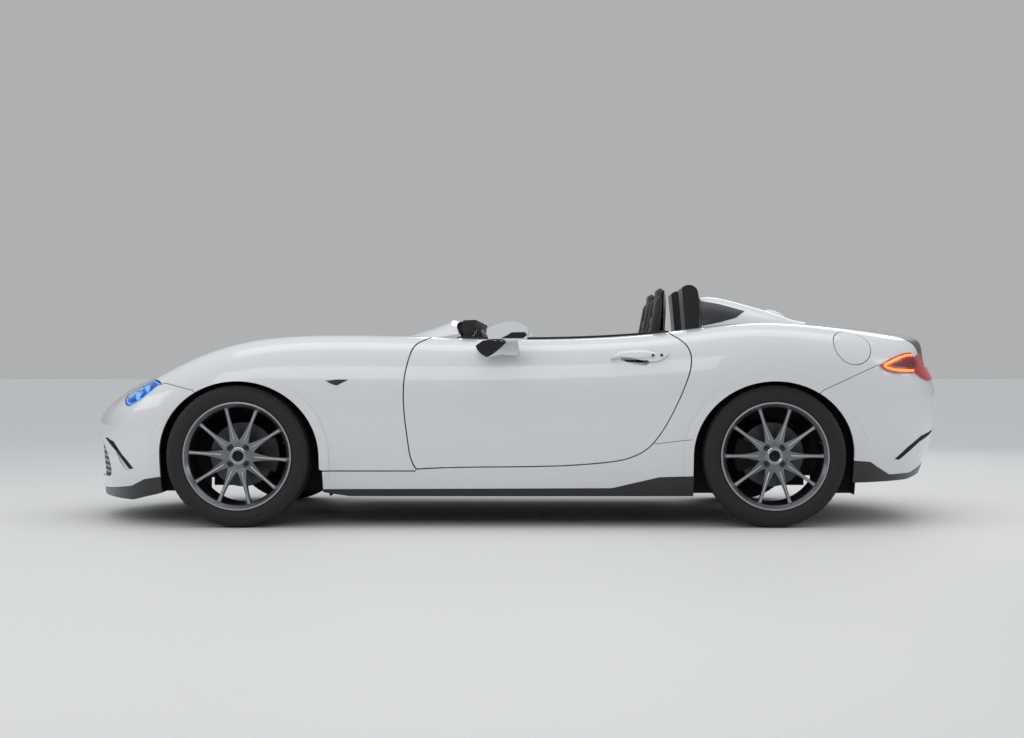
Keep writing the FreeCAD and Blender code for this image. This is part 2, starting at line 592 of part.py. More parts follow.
def net():
    """Control points of the right-hand half of the body, rib by rib from nose to tail."""
    ribs = [rib(NOSE_RIB_SHARES), rib(NOSE_RIB_SHARES, NOSE_SIDE_SHARES)]
    ribs += [rib(NOSE_HALF_SHARES), rib(NOSE_CORNER_SHARES)]
    ribs += [side_rib(*shares) for shares in SIDE_RIB_SHARES]
    ribs += [rib(TAIL_CORNER_SHARES), rib(TAIL_HALF_SHARES)]
    return ribs + [rib(TAIL_RIB_SHARES, TAIL_SIDE_SHARES), rib(TAIL_RIB_SHARES)]


def moved_in(ribs, depth):
    """The same net moved inwards by a depth along its own normals."""
    last = len(ribs) - 1
    result = []
    for i, points in enumerate(ribs):
        end = len(points) - 1
        new = []
        for j, point in enumerate(points):
            along = ribs[min(i + 1, last)][j] - ribs[max(i - 1, 0)][j]
            if along.Length < MEETING:
                along = ribs[min(i + 2, last)][j] - ribs[max(i - 2, 0)][j]
            across = points[min(j + 1, end)] - points[max(j - 1, 0)]
            normal = along.cross(across).normalize()
            shifted = point + normal * depth
            if j == end or i in (0, last):
                shifted.y = 0
            new.append(shifted)
        new[0].z = points[0].z
        result.append(new)
    return result


def knots(count):
    """Even knots of a cubic with this many control points, and how often each is used."""
    values = list(range(count - DEGREE + 1))
    return values, [DEGREE + 1] + [1] * (len(values) - 2) + [DEGREE + 1]


def half_body(depth=0.0):
    """Solid right-hand half of the body, its skin moved inwards by a depth."""
    ribs = moved_in(net(), depth) if depth else net()
    knots_u, repeats_u = knots(len(ribs))
    knots_v, repeats_v = knots(len(ribs[0]))
    skin = Part.BSplineSurface()
    skin.buildFromPolesMultsKnots(
        ribs, repeats_u, repeats_v, knots_u, knots_v, False, False, DEGREE, DEGREE)
    first_u, last_u, first_v, last_v = skin.bounds()
    base = Part.makeLine(ribs[0][0], ribs[-1][0])
    foot = skin.vIso(first_v).toShape()
    rim = [skin.uIso(first_u).toShape(), skin.vIso(last_v).toShape(), skin.uIso(last_u).toShape()]
    middle = Part.Face(Part.Wire(Part.__sortEdges__(rim + [base])))
    floor = Part.Face(Part.Wire(Part.__sortEdges__([foot, base])))
    shell = Part.Compound([skin.toShape(), middle, floor])
    shell.sewShape(MEETING)
    solid = Part.Solid(shell.Shells[0])
    if solid.Volume < 0:
        solid.reverse()
    return solid


def layer(outer, inner):
    """Right-hand half of the body's wall between two depths."""
    return half_body(outer).cut(half_body(inner))


def wheel_opening(axle_x, margin, inner):
    """Room of a wheel: an ellipse in side view and all below it, from an inner distance outwards."""
    unit = Part.Face(Part.Wire(Part.makeCircle(1, V(0, 0, 0), V(0, 1, 0))))
    size = FreeCAD.Matrix()
    size.A11 = ARCH_HALF_LENGTH + margin
    size.A33 = ARCH_HEIGHT + margin
    face = unit.transformGeometry(size)
    face.translate(V(axle_x, inner, TYRE_RADIUS))
    below = block(axle_x - size.A11, axle_x + size.A11, inner, inner + OVERRUN, -OVERRUN, TYRE_RADIUS)
    return face.extrude(V(0, OVERRUN, 0)).fuse(below)


# Cutting outlines

DOOR_RUNS = [side_points(DOOR_FRONT_SHARES), side_points(DOOR_FOOT_SHARES), side_points(DOOR_REAR_SHARES)]
WING_RUNS = straight(side_points(WING_FRONT_SHARES + WING_FOOT_SHARES)) + [side_points(DOOR_FRONT_SHARES[::-1])]
BUMPER_RUNS = straight(side_points(
    BUMPER_FOOT_SHARES + WING_FOOT_SHARES[:1] + WING_FRONT_SHARES[::-1] + BUMPER_CREST_SHARES))
SPLITTER_RUNS = straight(side_points(BUMPER_FOOT_SHARES + SPLITTER_FOOT_SHARES[::-1]))
SILL_RUNS = straight(side_points(SILL_FRONT_SHARES)) + straight(side_points(TAIL_SPLIT_SHARES[::-1]))
SILL_RUNS += [side_points((TAIL_SPLIT_SHARES[0], SKIRT_TOP_SHARES[-1]))]
SILL_RUNS += straight(side_points(SKIRT_TOP_SHARES[::-1]))
SKIRT_RUNS = straight(side_points(SKIRT_TOP_SHARES + SKIRT_FOOT_SHARES))
REAR_BUMPER_RUNS = straight(side_points(TAIL_SPLIT_SHARES)) + straight(side_points(TAIL_FOOT_SHARES[::-1]))
DIFFUSER_RUNS = straight(side_points(TAIL_FOOT_SHARES)) + straight(side_points(DIFFUSER_FOOT_SHARES[::-1]))
LAMP_RUNS = [side_points(run) for run in (LAMP_FOOT_SHARES, LAMP_NOSE_SHARES, LAMP_TOP_SHARES)]
TAIL_LAMP_RUNS = [
    side_points(run) for run in (
        TAIL_LAMP_FOOT_SHARES, TAIL_LAMP_REAR_SHARES, TAIL_LAMP_TOP_SHARES, TAIL_LAMP_CREST_SHARES)]
HANDLE_RUNS = [side_points(HANDLE_SHARES)]
GRIP_RUNS = [side_points(GRIP_SHARES)]
FRONT_SLOT_RUNS = [side_points(FRONT_SLOT_SHARES)]
REAR_SLOT_RUNS = [side_points(REAR_SLOT_SHARES)]

BONNET_RUNS = [
    plan_points(BONNET_FRONT_SHARES[:0:-1], -1) + plan_points(BONNET_FRONT_SHARES),
    plan_points(BONNET_SIDE_SHARES),
    plan_points(BONNET_REAR_SHARES) + plan_points(BONNET_REAR_SHARES[-2::-1], -1),
    plan_points(BONNET_SIDE_SHARES[::-1], -1)]
SCUTTLE_SIDE = BONNET_SIDE_SHARES[-1][1] * HALF_WIDTH


def strip(front, rear, half_shares):
    """Runs in plan of a strip across the car that narrows rearwards."""
    left_front, left_rear = ((front, -half_shares[0]), (rear, -half_shares[1]))
    right_front, right_rear = ((front, half_shares[0]), (rear, half_shares[1]))
    corners = (left_front, right_front, right_rear, left_rear, left_front)
    return straight(plan_points(corners))


DECK_RUNS = strip(COCKPIT_REAR_SHARE, DECK_REAR_SHARE, DECK_HALF_SHARES)
LID_RUNS = strip(LID_FRONT_SHARE, LID_REAR_SHARE, LID_HALF_SHARES)

os.makedirs("parts", exist_ok=True)

# Body with its raised wheel lips
body = half_body()
raised = half_body(-FLARE_RISE)
for axle_x in (FRONT_AXLE_X, REAR_AXLE_X):
    lip = wheel_opening(axle_x, FLARE_WIDTH, FLARE_Y)
    lip = lip.common(block(-OVERRUN, OVERRUN, 0, OVERRUN, FLARE_FOOT, OVERRUN))
    body = body.fuse(raised.common(lip))
sheet_core = half_body(SKIN)
bumper_core = half_body(BUMPER_WALL)
quarter_core = half_body(QUARTER_WALL)
rim_core = half_body(DOOR_RIM)
front_opening = wheel_opening(FRONT_AXLE_X, 0, FRONT_HOUSE_Y)
rear_opening = wheel_opening(REAR_AXLE_X, 0, REAR_HOUSE_Y)
sheet = body.cut(sheet_core)


def house_room(axle_x, margin, inner, core):
    """Room that a wheel house takes inside a panel's wall."""
    room = wheel_opening(axle_x, margin + HOUSE_WALL + SEAT_GAP, inner - HOUSE_WALL - SEAT_GAP)
    return room.common(core)


front_room = house_room(FRONT_AXLE_X, FRONT_HOUSE_MARGIN, FRONT_HOUSE_Y, bumper_core)
rear_room = house_room(REAR_AXLE_X, REAR_HOUSE_MARGIN, REAR_HOUSE_Y, quarter_core)

door_hole = side_prism(DOOR_RUNS, SHUT_GAP / 2, CABIN_INNER)
bonnet_hole = plan_prism(BONNET_RUNS, LID_CUT, SHUT_GAP / 2)
lid_foot = LID_FOOT_SHARE * SHOULDER_HEIGHT
lid_hole = plan_prism(LID_RUNS, lid_foot, SHUT_GAP / 2)
deck_hole = plan_prism(DECK_RUNS, LID_CUT, SHUT_GAP / 2)
lamp_hole = side_prism(LAMP_RUNS, 0, CABIN_INNER)
tail_lamp_hole = side_prism(TAIL_LAMP_RUNS, 0, CABIN_INNER)

# Front wings
wing = sheet.common(side_prism(WING_RUNS, -SHUT_GAP / 4, CABIN_INNER))
for hole in (bonnet_hole, lamp_hole, front_opening, door_hole):
    wing = wing.cut(hole)
wing = wing.cut(block(x_at(COCKPIT_FRONT_SHARE) - SCUTTLE_LENGTH, OVERRUN, 0, SCUTTLE_SIDE, 0, OVERRUN))
save_pair("wing", largest(wing))

# Bonnet
bonnet = sheet.common(plan_prism(BONNET_RUNS, LID_CUT, -SHUT_GAP / 2))
save("bonnet", whole(largest(bonnet)))

# Doors: an outer layer with the full outline, stepped in behind it, open towards the cabin


def cabin_void():
    """Hollow of the cabin, narrowing towards the belt line."""
    start = x_at(COCKPIT_FRONT_SHARE) - FOOTWELL_LENGTH
    low, high = CABIN_TAPER
    corners = (
        (0, CABIN_FLOOR), (CABIN_HALF_WIDTH, CABIN_FLOOR), (CABIN_HALF_WIDTH, low),
        (COCKPIT_HALF_WIDTH, high), (COCKPIT_HALF_WIDTH, OVERRUN), (0, OVERRUN), (0, CABIN_FLOOR))
    face = Part.Face(Part.makePolygon([V(start, y, z) for y, z in corners]))
    return face.extrude(V(x_at(REAR_BULKHEAD_SHARE) - start, 0, 0))


void = cabin_void()
handle = side_prism(HANDLE_RUNS, 0, CABIN_INNER)
grip = side_prism(GRIP_RUNS, 0, CABIN_INNER)
door = body.cut(rim_core).common(side_prism(DOOR_RUNS, -SHUT_GAP / 2, CABIN_INNER)).cut(void)
inner_door = body.common(side_prism(DOOR_RUNS, -SHUT_GAP / 2 - DOOR_STEP, CABIN_INNER)).cut(void)
inner_door = inner_door.cut(block(-OVERRUN, HINGE_X + PILLAR_WALL, 0, OVERRUN, 0, OVERRUN))
door = door.fuse(inner_door)
door = door.cut(layer(0, GRIP_DEPTH).common(grip))
door = door.fuse(half_body(-HANDLE_RISE).cut(half_body(-HANDLE_RISE / 2)).common(handle))
door = door.fuse(half_body(-HANDLE_RISE / 2 - MEETING).cut(body).common(handle).cut(grip))
save_pair("door", largest(door.removeSplitter()))

# Body sides: sill and rear quarter in one piece
side = body.common(side_prism(SILL_RUNS, -SHUT_GAP / 4, CABIN_INNER)).cut(void)
behind = block(x_at(REAR_BULKHEAD_SHARE), OVERRUN, 0, OVERRUN, 0, OVERRUN)
side = side.cut(quarter_core.common(behind))
side = side.cut(block(-OVERRUN, x_at(COCKPIT_FRONT_SHARE), 0, CABIN_HALF_WIDTH, 0, OVERRUN))
side = side.cut(door_hole.cut(rim_core))
side = side.cut(side_prism(DOOR_RUNS, SHUT_GAP / 2 - DOOR_STEP, CABIN_INNER))
hinge_room = side_prism(DOOR_RUNS, SHUT_GAP, CABIN_INNER).common(rim_core)
hinge_end = HINGE_X + DOOR_RIM + PILLAR_WALL
side = side.cut(hinge_room.common(block(-OVERRUN, hinge_end, 0, OVERRUN, 0, OVERRUN)))
for hole in (front_room, rear_room, rear_opening, deck_hole, lid_hole, tail_lamp_hole):
    side = side.cut(hole)
side = largest(side)
save("body_side_right", side)

# Bumpers
bumper_wall = body.cut(bumper_core)
mouth_end = front_points(MOUTH_END_SHARES, -OVERRUN)
mouth_runs = [
    front_points(MOUTH_FOOT_SHARES, -OVERRUN), mouth_end, front_points(MOUTH_TOP_SHARES, -OVERRUN),
    [V(point.x, -point.y, point.z) for point in mouth_end[::-1]]]
mouth_depth = V(OVERRUN + x_at(MOUTH_BACK_SHARE), 0, 0)
mouth = prism(mouth_runs, mouth_depth)
front_slot = layer(-FLARE_RISE, BUMPER_WALL / 2).common(side_prism(FRONT_SLOT_RUNS, 0, SLOT_Y))
bumper = bumper_wall.common(side_prism(BUMPER_RUNS, -SHUT_GAP / 4))
for hole in (bonnet_hole, lamp_hole, front_opening, mouth, front_slot):
    bumper = bumper.cut(hole)
save("front_bumper", whole(largest(bumper)))

rear_slot = layer(-FLARE_RISE, BUMPER_WALL / 2).common(side_prism(REAR_SLOT_RUNS, 0, SLOT_Y))
tail = bumper_wall.common(side_prism(REAR_BUMPER_RUNS, -SHUT_GAP / 4))
for hole in (rear_opening, tail_lamp_hole, lid_hole, rear_slot):
    tail = tail.cut(hole)
tail = tail.cut(block(-OVERRUN, x_at(TAIL_FOOT_SHARES[1][0]), 0, SLOT_Y, 0, OVERRUN))
save("rear_bumper", whole(largest(tail)))

# Boot lid with its hinge arms
pin_x = x_at(LID_HINGE_SHARES[0])
pin_z = LID_HINGE_SHARES[1] * SHOULDER_HEIGHT
arm_foot = pin_z - LID_ARM_DROP
arm_rear = pin_x + LID_ARM_REACH
half_arm = LID_ARM_WIDTH / 2
arm_end = LID_ARM_Y + LID_ARM_WALL
lid = sheet.common(plan_prism(LID_RUNS, lid_foot + SHUT_GAP, -SHUT_GAP / 2))
lid_arm = [
    drum(V(pin_x, 0, pin_z), LID_ARM_Y, arm_end, half_arm),
    block(pin_x - half_arm, pin_x + half_arm, LID_ARM_Y, arm_end, arm_foot, pin_z),
    block(pin_x - half_arm, arm_rear + half_arm, LID_ARM_Y, arm_end, arm_foot - half_arm, arm_foot + half_arm),
    block(arm_rear - half_arm, arm_rear + half_arm, LID_ARM_Y, arm_end, arm_foot, OVERRUN).common(body)]
save("boot_lid", whole(largest(fused([largest(lid)] + lid_arm))))

# Lamps
lamp = body.cut(half_body(LAMP_DEPTH)).common(side_prism(LAMP_RUNS, -SEAT_GAP, CABIN_INNER)).cut(bonnet_hole)
save_pair("headlamp", largest(lamp))
lens = half_body(-LENS_RISE).cut(half_body(TAIL_LAMP_DEPTH))
lens = lens.common(side_prism(TAIL_LAMP_RUNS, -SEAT_GAP, CABIN_INNER)).cut(lid_hole)
save_pair("tail_lamp", largest(lens))

# Wheels


def wheel_solid(runs, centre):
    """Solid of revolution about the axle from runs of (radius, place outboard) points."""
    wire = loop([[centre + V(0, outboard, radius) for radius, outboard in run] for run in runs])
    return Part.Face(wire).revolve(centre, V(0, 1, 0), 360)


def ring(inner, outer, start, end):
    """Runs of a plain ring between two radii and two places."""
    corners = ((inner, start), (outer, start), (outer, end), (inner, end), (inner, start))
    return straight(corners)


def sidewall(shares, side=1):
    """Points of the tyre's section from shares of its sidewall height and half width."""
    height = TYRE_RADIUS - RIM_RADIUS
    return [(RIM_RADIUS + rise * height, side * width * TYRE_WIDTH / 2) for rise, width in shares]


def rim_bead(side):
    """The rim's flank that the tyre's bead sits against, from the outer edge inwards."""
    edge = RIM_WIDTH / 2 - FLANGE
    return [(RIM_RADIUS, side * edge), (RIM_BED_RADIUS + FLANGE / 2, side * (edge - FLANGE / 2)),
            (RIM_BED_RADIUS, side * (edge - FLANGE * 2))]


def rim(centre, turn):
    """Spoked wheel: stepped barrel, dished hub with a plain cap, even spokes."""
    half = RIM_WIDTH / 2
    barrel = RIM_BED_RADIUS - RIM_WALL
    lip = RIM_RADIUS - RIM_WALL
    outer, inner = rim_bead(1), rim_bead(-1)[::-1]
    step = (barrel + LIP_STEP, half - LIP_DEPTH)
    runs = [outer, [outer[-1], inner[0]], inner, [inner[-1], (RIM_RADIUS, -half)]]
    runs += straight(((RIM_RADIUS, -half), (lip, -half), (barrel, FLANGE * 2 - half - RIM_WALL)))
    runs += straight((runs[-1][-1], (barrel, SPOKE_FACE - LIP_DEPTH), step, (lip, half)))
    runs += straight(((lip, half), (RIM_RADIUS, half), outer[0]))
    pieces = [wheel_solid(runs, centre)]
    hub_face = SPOKE_FACE - HUB_DISH
    hub_runs = straight((
        (0, hub_face + HUB_CAP_RISE), (HUB_CAP_RADIUS, hub_face + HUB_CAP_RISE), (HUB_CAP_RADIUS, hub_face),
        (HUB_RADIUS - HUB_DISH, hub_face), (HUB_RADIUS, hub_face - HUB_DISH / 2), (HUB_RADIUS, -HUB_BACK),
        (0, -HUB_BACK), (0, hub_face + HUB_CAP_RISE)))
    pieces.append(wheel_solid(hub_runs, centre))
    root = HUB_RADIUS - HUB_DISH
    tip = barrel + RIM_WALL / 2
    middle = (root + tip) / 2
    face = [V(0, hub_face, root), V(0, SPOKE_FACE - SPOKE_SAG, middle), V(0, SPOKE_FACE, tip)]
    back = [point - V(0, depth, 0) for point, depth in zip(face, SPOKE_DEPTHS)]
    side_view = Part.Face(loop([[centre + point for point in face], [centre + point for point in back[::-1]]]))
    flank = [(SPOKE_ROOT_WIDTH / 2, root), (SPOKE_TIP_WIDTH / 2, middle), (SPOKE_TIP_WIDTH / 2, tip)]
    right = [centre + V(x, 0, z) for x, z in flank]
    left = [centre + V(-x, 0, z) for x, z in flank[::-1]]
    front_view = Part.Face(loop([right, left]))
    plate = side_view.extrude(V(SPOKE_ROOT_WIDTH, 0, 0))
    plate.translate(V(-SPOKE_ROOT_WIDTH / 2, 0, 0))
    spoke = plate.common(front_view.extrude(V(0, RIM_WIDTH, 0)))
    for k in range(SPOKE_COUNT):
        copy = spoke.copy()
        copy.rotate(centre, V(0, 1, 0), 360 / SPOKE_COUNT * (k + 1 / 2) + turn)
        pieces.append(copy)
    wheel = fused(pieces)
    for k in range(BOLT_COUNT):
        place = V(0, 0, BOLT_CIRCLE_RADIUS)
        place = FreeCAD.Rotation(V(0, 1, 0), 360 / BOLT_COUNT * (k + 1 / 2)).multVec(place)
        pocket = drum(centre + place, hub_face - BOLT_POCKET_DEPTH, SPOKE_FACE + HUB_DISH, BOLT_POCKET_RADIUS)
        head = drum(centre + place, hub_face - BOLT_POCKET_DEPTH, hub_face - HUB_CAP_RISE, BOLT_HEAD_RADIUS)
        wheel = wheel.cut(pocket).fuse(head)
    return wheel.removeSplitter()


def tyre(centre):
    """Hollow tyre with grooves round its tread, standing on the rim's beads."""
    outer, inner = rim_bead(1), rim_bead(-1)
    bead = outer[-1][1] - BEAD_WIDTH
    upper = [sidewall(SIDEWALL_SHARES), sidewall(SHOULDER_SHARES), sidewall(TREAD_SHARES)]
    lower = [sidewall(SHOULDER_SHARES[::-1], -1), sidewall(SIDEWALL_SHARES[::-1], -1)]
    lining = RIM_BED_RADIUS + TYRE_WALL
    half = TYRE_WIDTH / 2 - TYRE_WALL
    crown = TYRE_RADIUS - TYRE_WALL
    runs = upper + lower + straight((lower[-1][-1], inner[0])) + [inner]
    runs += straight((inner[-1], (RIM_BED_RADIUS, -bead), (lining, -bead), (lining, -half + TYRE_WALL)))
    bulge = RIM_RADIUS + TYRE_WALL * 2
    runs += [[(lining, -half + TYRE_WALL), (bulge, -half), (crown - TYRE_WALL, TYRE_WALL - half)]]
    runs += [[(crown - TYRE_WALL, TYRE_WALL - half), (crown, 0), (crown - TYRE_WALL, half - TYRE_WALL)]]
    runs += [[(crown - TYRE_WALL, half - TYRE_WALL), (bulge, half), (lining, half - TYRE_WALL)]]
    runs += straight(((lining, half - TYRE_WALL), (lining, bead), (RIM_BED_RADIUS, bead), outer[-1]))
    runs += [outer[::-1]] + straight((outer[0], upper[0][0]))
    solid = wheel_solid(runs, centre)
    for share in GROOVE_SHARES:
        start = share * TYRE_WIDTH / 2 - GROOVE_WIDTH / 2
        groove = ring(TYRE_RADIUS - GROOVE_DEPTH, TYRE_RADIUS + GROOVE_DEPTH, start, start + GROOVE_WIDTH)
        solid = solid.cut(wheel_solid(groove, centre))
    return solid


def brake_disc(centre):
    """Brake disc with its hat, bolted to the back of the hub."""
    back = -DISC_FACE - DISC_WALL
    runs = straight((
        (0, -HUB_BACK - SEAT_GAP), (HAT_RADIUS, -HUB_BACK - SEAT_GAP), (HAT_RADIUS, -DISC_FACE),
        (DISC_RADIUS, -DISC_FACE), (DISC_RADIUS, back), (0, back), (0, -HUB_BACK - SEAT_GAP)))
    return wheel_solid(runs, centre)


def caliper(centre, facing):
    """Brake caliper straddling the disc, behind the axle or ahead of it."""
    inner, outer = DISC_RADIUS - CALIPER_DEPTH, DISC_RADIUS + CALIPER_RIM
    front, back = PAD_CLEARANCE - DISC_FACE, -DISC_FACE - DISC_WALL - PAD_CLEARANCE
    channel = DISC_RADIUS + PAD_CLEARANCE * 2
    runs = straight((
        (inner, front + CALIPER_WALL), (outer, front + CALIPER_WALL), (outer, back - CALIPER_CHEEK),
        (inner, back - CALIPER_CHEEK), (inner, back), (channel, back), (channel, front), (inner, front),
        (inner, front + CALIPER_WALL)))
    wire = loop([[centre + V(0, outboard, radius) for radius, outboard in run] for run in runs])
    solid = Part.Face(wire).revolve(centre, V(0, 1, 0), CALIPER_ARC)
    solid.rotate(centre, V(0, 1, 0), facing * 90 - CALIPER_ARC / 2)
    return solid


def upright(centre, facing):
    """Upright between two ball joints with the hub's flange and the caliper on it."""
    back = centre.y - DISC_FACE - DISC_WALL - SEAT_GAP
    low = V(centre.x, KINGPIN_Y, centre.z - BALL_RISE)
    high = V(centre.x, KINGPIN_Y, centre.z + BALL_RISE)
    axle = V(centre.x, 0, centre.z)
    reach = facing * (DISC_RADIUS + CALIPER_RIM / 2)
    bracket = block(
        centre.x + min(0, reach), centre.x + max(0, reach), back - PAD_CLEARANCE - BRACKET_WALL,
        back - PAD_CLEARANCE, centre.z - BRACKET_WALL, centre.z + BRACKET_WALL)
    return fused([
        rod(low, high, KINGPIN_RADIUS), drum(axle, KINGPIN_Y - KINGPIN_RADIUS, back, STUB_RADIUS),
        caliper(centre, facing), bracket, Part.makeSphere(BALL_RADIUS, low),
        Part.makeSphere(BALL_RADIUS, high)])


front_centre = V(FRONT_AXLE_X, FRONT_WHEEL_Y, TYRE_RADIUS)
rear_centre = V(REAR_AXLE_X, REAR_WHEEL_Y, TYRE_RADIUS)
for place, centre, turn in (
        ("front", front_centre, FRONT_SPOKE_TURN), ("rear", rear_centre, REAR_SPOKE_TURN)):
    save_pair(place + "_tyre", tyre(centre))
    save_pair(place + "_rim", rim(centre, turn))
    save_pair(place + "_disc", brake_disc(centre))
save_pair("knuckle", upright(front_centre, 1))

# Suspension


def wishbone(axle_x, height, tip_y):
    """Two legs from a ball joint to bushes on the crossmember."""
    tip = V(axle_x, tip_y, height)
    pieces = []
    for side in (-1, 1):
        root = V(axle_x + side * ARM_SPREAD, ARM_ROOT_Y, height)
        half_bush = V(BUSH_LENGTH / 2, 0, 0)
        pieces += [rod(root, tip, ARM_RADIUS), rod(root - half_bush, root + half_bush, BUSH_RADIUS)]
    return pieces


def axle_frame(axle_x, tip_y, shift, damper_top):
    """Crossmember with its towers, both wishbones, the damper and the spring, right-hand half."""
    low, high = TYRE_RADIUS - BALL_RISE, TYRE_RADIUS + BALL_RISE
    start, end = axle_x - CROSSMEMBER_HALF_LENGTH, axle_x + CROSSMEMBER_HALF_LENGTH
    top = CROSSMEMBER_FOOT + CROSSMEMBER_HEIGHT
    inner = ARM_ROOT_Y - TOWER_WALL / 2
    pieces = wishbone(axle_x, low, tip_y) + wishbone(axle_x, high, tip_y)
    pieces.append(block(start, end, 0, inner + TOWER_WALL, CROSSMEMBER_FOOT, top))
    pieces.append(block(start, end, inner, inner + TOWER_WALL, CROSSMEMBER_FOOT, RAIL_FOOT - SEAT_GAP))
    foot = V(axle_x + shift, DAMPER_Y, low)
    head = V(axle_x + shift, DAMPER_Y, damper_top)
    spring = V(0, 0, SPRING_LENGTH)
    cup = V(0, 0, SPRING_MARGIN)
    pieces += [rod(foot, head, DAMPER_RADIUS), rod(head - cup - spring, head - cup, SPRING_RADIUS)]
    half_length = max(abs(shift), TOWER_HALF_LENGTH)
    pieces.append(block(
        axle_x - half_length - DAMPER_RADIUS, axle_x + half_length + DAMPER_RADIUS, DAMPER_Y - BUSH_RADIUS,
        DAMPER_Y + BUSH_RADIUS, low - ARM_RADIUS, low + ARM_RADIUS))
    return pieces


ball_face = KINGPIN_Y - BALL_RADIUS - SEAT_GAP
front_frame = fused(axle_frame(FRONT_AXLE_X, ball_face, 0, DAMPER_TOP))
front_frame = front_frame.cut(block(-OVERRUN, OVERRUN, ball_face, OVERRUN, 0, OVERRUN))
damper_room = wheel_opening(FRONT_AXLE_X, FRONT_HOUSE_MARGIN - SEAT_GAP, FRONT_HOUSE_Y - HOUSE_WALL)
inboard = block(-OVERRUN, OVERRUN, 0, FRONT_HOUSE_Y - HOUSE_WALL, 0, OVERRUN)
front_frame = front_frame.common(damper_room.fuse(inboard))
save("front_suspension", whole(largest(front_frame)))

shaft = drum(V(REAR_AXLE_X, 0, TYRE_RADIUS), 0, KINGPIN_Y, SHAFT_RADIUS)
final_drive = Part.makeSphere(FINAL_DRIVE_RADIUS, V(REAR_AXLE_X, 0, TYRE_RADIUS))
boot_underside = RAIL_FOOT + RAIL_HEIGHT
rear_frame = axle_frame(REAR_AXLE_X, KINGPIN_Y, DAMPER_SHIFT, boot_underside - SEAT_GAP)
rear_frame += [upright(rear_centre, -1), shaft, final_drive]
save("rear_suspension", whole(largest(fused(rear_frame))))

# Deck between the haunches, with a fairing behind each seat


def fairing_section(place, half_share, top, foot):
    """An arched outline across the car, closed by a straight foot."""
    half = half_share * SEAT_WIDTH
    low = foot * SHOULDER_HEIGHT
    rise = (top - foot) * SHOULDER_HEIGHT
    points = [V(x_at(place), across * half, low + share * rise) for across, share in ARCH_SHARES]
    return Part.Wire([curve(points), Part.makeLine(points[-1], points[0])])


fairing = Part.makeLoft([fairing_section(*shares) for shares in FAIRING_SHARES], True, False)
fairing.translate(V(0, SEAT_Y, 0))
deck = sheet.common(plan_prism(DECK_RUNS, LID_CUT, -SHUT_GAP / 2))
deck = deck.cut(block(-OVERRUN, x_at(DECK_FRONT_SHARE), 0, OVERRUN, 0, OVERRUN))
stop_lamp = Part.makeLoft([fairing_section(*shares) for shares in STOP_LAMP_SHARES], True, False)
bracket_start = arm_end + SEAT_GAP
bracket = block(
    pin_x - LID_ARM_WIDTH, pin_x + LID_ARM_WIDTH, bracket_start, bracket_start + LID_ARM_WALL,
    pin_z - LID_ARM_WIDTH, OVERRUN).common(body)
deck = fused([deck, bracket, fairing, stop_lamp.common(block(-OVERRUN, OVERRUN, 0, OVERRUN, 0, OVERRUN))])
save("rear_deck", whole(largest(deck)))

# Head pods
pod_runs = [side_points(POD_FRONT_SHARES), side_points((POD_FRONT_SHARES[-1], POD_REAR_SHARES[0]))]
pod_runs += [side_points(POD_REAR_SHARES), side_points(POD_TOP_SHARES)]
pod = side_prism(pod_runs, 0, SEAT_Y - POD_WIDTH / 2, SEAT_Y + POD_WIDTH / 2)
save_pair("head_pod", largest(pod.cut(half_body(-SEAT_GAP)).cut(fairing)))

# Scuttle panel and its wind deflector
scuttle = sheet.common(block(
    x_at(COCKPIT_FRONT_SHARE) - SCUTTLE_LENGTH + SHUT_GAP / 2, x_at(COCKPIT_FRONT_SHARE), 0,
    SCUTTLE_SIDE - SHUT_GAP / 2, LID_CUT, OVERRUN))
scuttle = scuttle.cut(bonnet_hole).cut(door_hole)


def deflector_section(width, foot_place, foot, crest_place, crest, tip_place, tip):
    """A blade in side view: hollow curve up to its crest, a thin edge and a hollow underside."""
    y = width * HALF_WIDTH
    low, high, end = [V(x_at(place), y, height * SHOULDER_HEIGHT) for place, height in (
        (foot_place, foot), (crest_place, crest), (tip_place, tip))]
    root = low - V(-BLADE_ROOT, 0, BLADE_ROOT / 2)
    top = [low, low + (high - low) / 2 - V(0, 0, BLADE_HOLLOW), high]
    under = [end, root + (end - root) / 2 - V(0, 0, BLADE_HOLLOW * 2), root]
    return Part.Wire([curve(top), curve([high, end]), curve(under), curve([root, low])])


deflector = Part.makeLoft([deflector_section(*shares) for shares in DEFLECTOR_SHARES], True, False)
scuttle = fused([whole(largest(scuttle)), deflector])
save("scuttle", largest(scuttle))

# Dashboard with its hood, the console and the steering column
dash_half = COCKPIT_HALF_WIDTH - DASH_MARGIN
dash_runs = [side_points(run) for run in (
    DASH_TOP_SHARES, DASH_HOOD_SHARES, DASH_FACE_SHARES, DASH_FOOT_SHARES)]
under_skin = half_body(SKIN + SEAT_GAP)
dash_room = [under_skin, mirrored(under_skin)]
dash_room.append(block(x_at(DASH_REACH_SHARE), OVERRUN, -OVERRUN, OVERRUN, 0, OVERRUN))
dash = side_prism(dash_runs, 0, -dash_half, dash_half).common(fused(dash_room))
console_top = side_points(CONSOLE_SHARES)
console_foot = [V(point.x, 0, TUNNEL_TOP + SEAT_GAP) for point in (console_top[-1], console_top[0])]
console_runs = [console_top] + straight([console_top[-1]] + console_foot + [console_top[0]])
console = side_prism(console_runs, 0, -CONSOLE_HALF_WIDTH, CONSOLE_HALF_WIDTH)
lever_foot = side_points(LEVER_SHARES)[0]
lever_top = lever_foot + V(0, 0, LEVER_LENGTH)
lever = rod(lever_foot, lever_top, LEVER_RADIUS)
knob = Part.makeSphere(KNOB_RADIUS, lever_top)

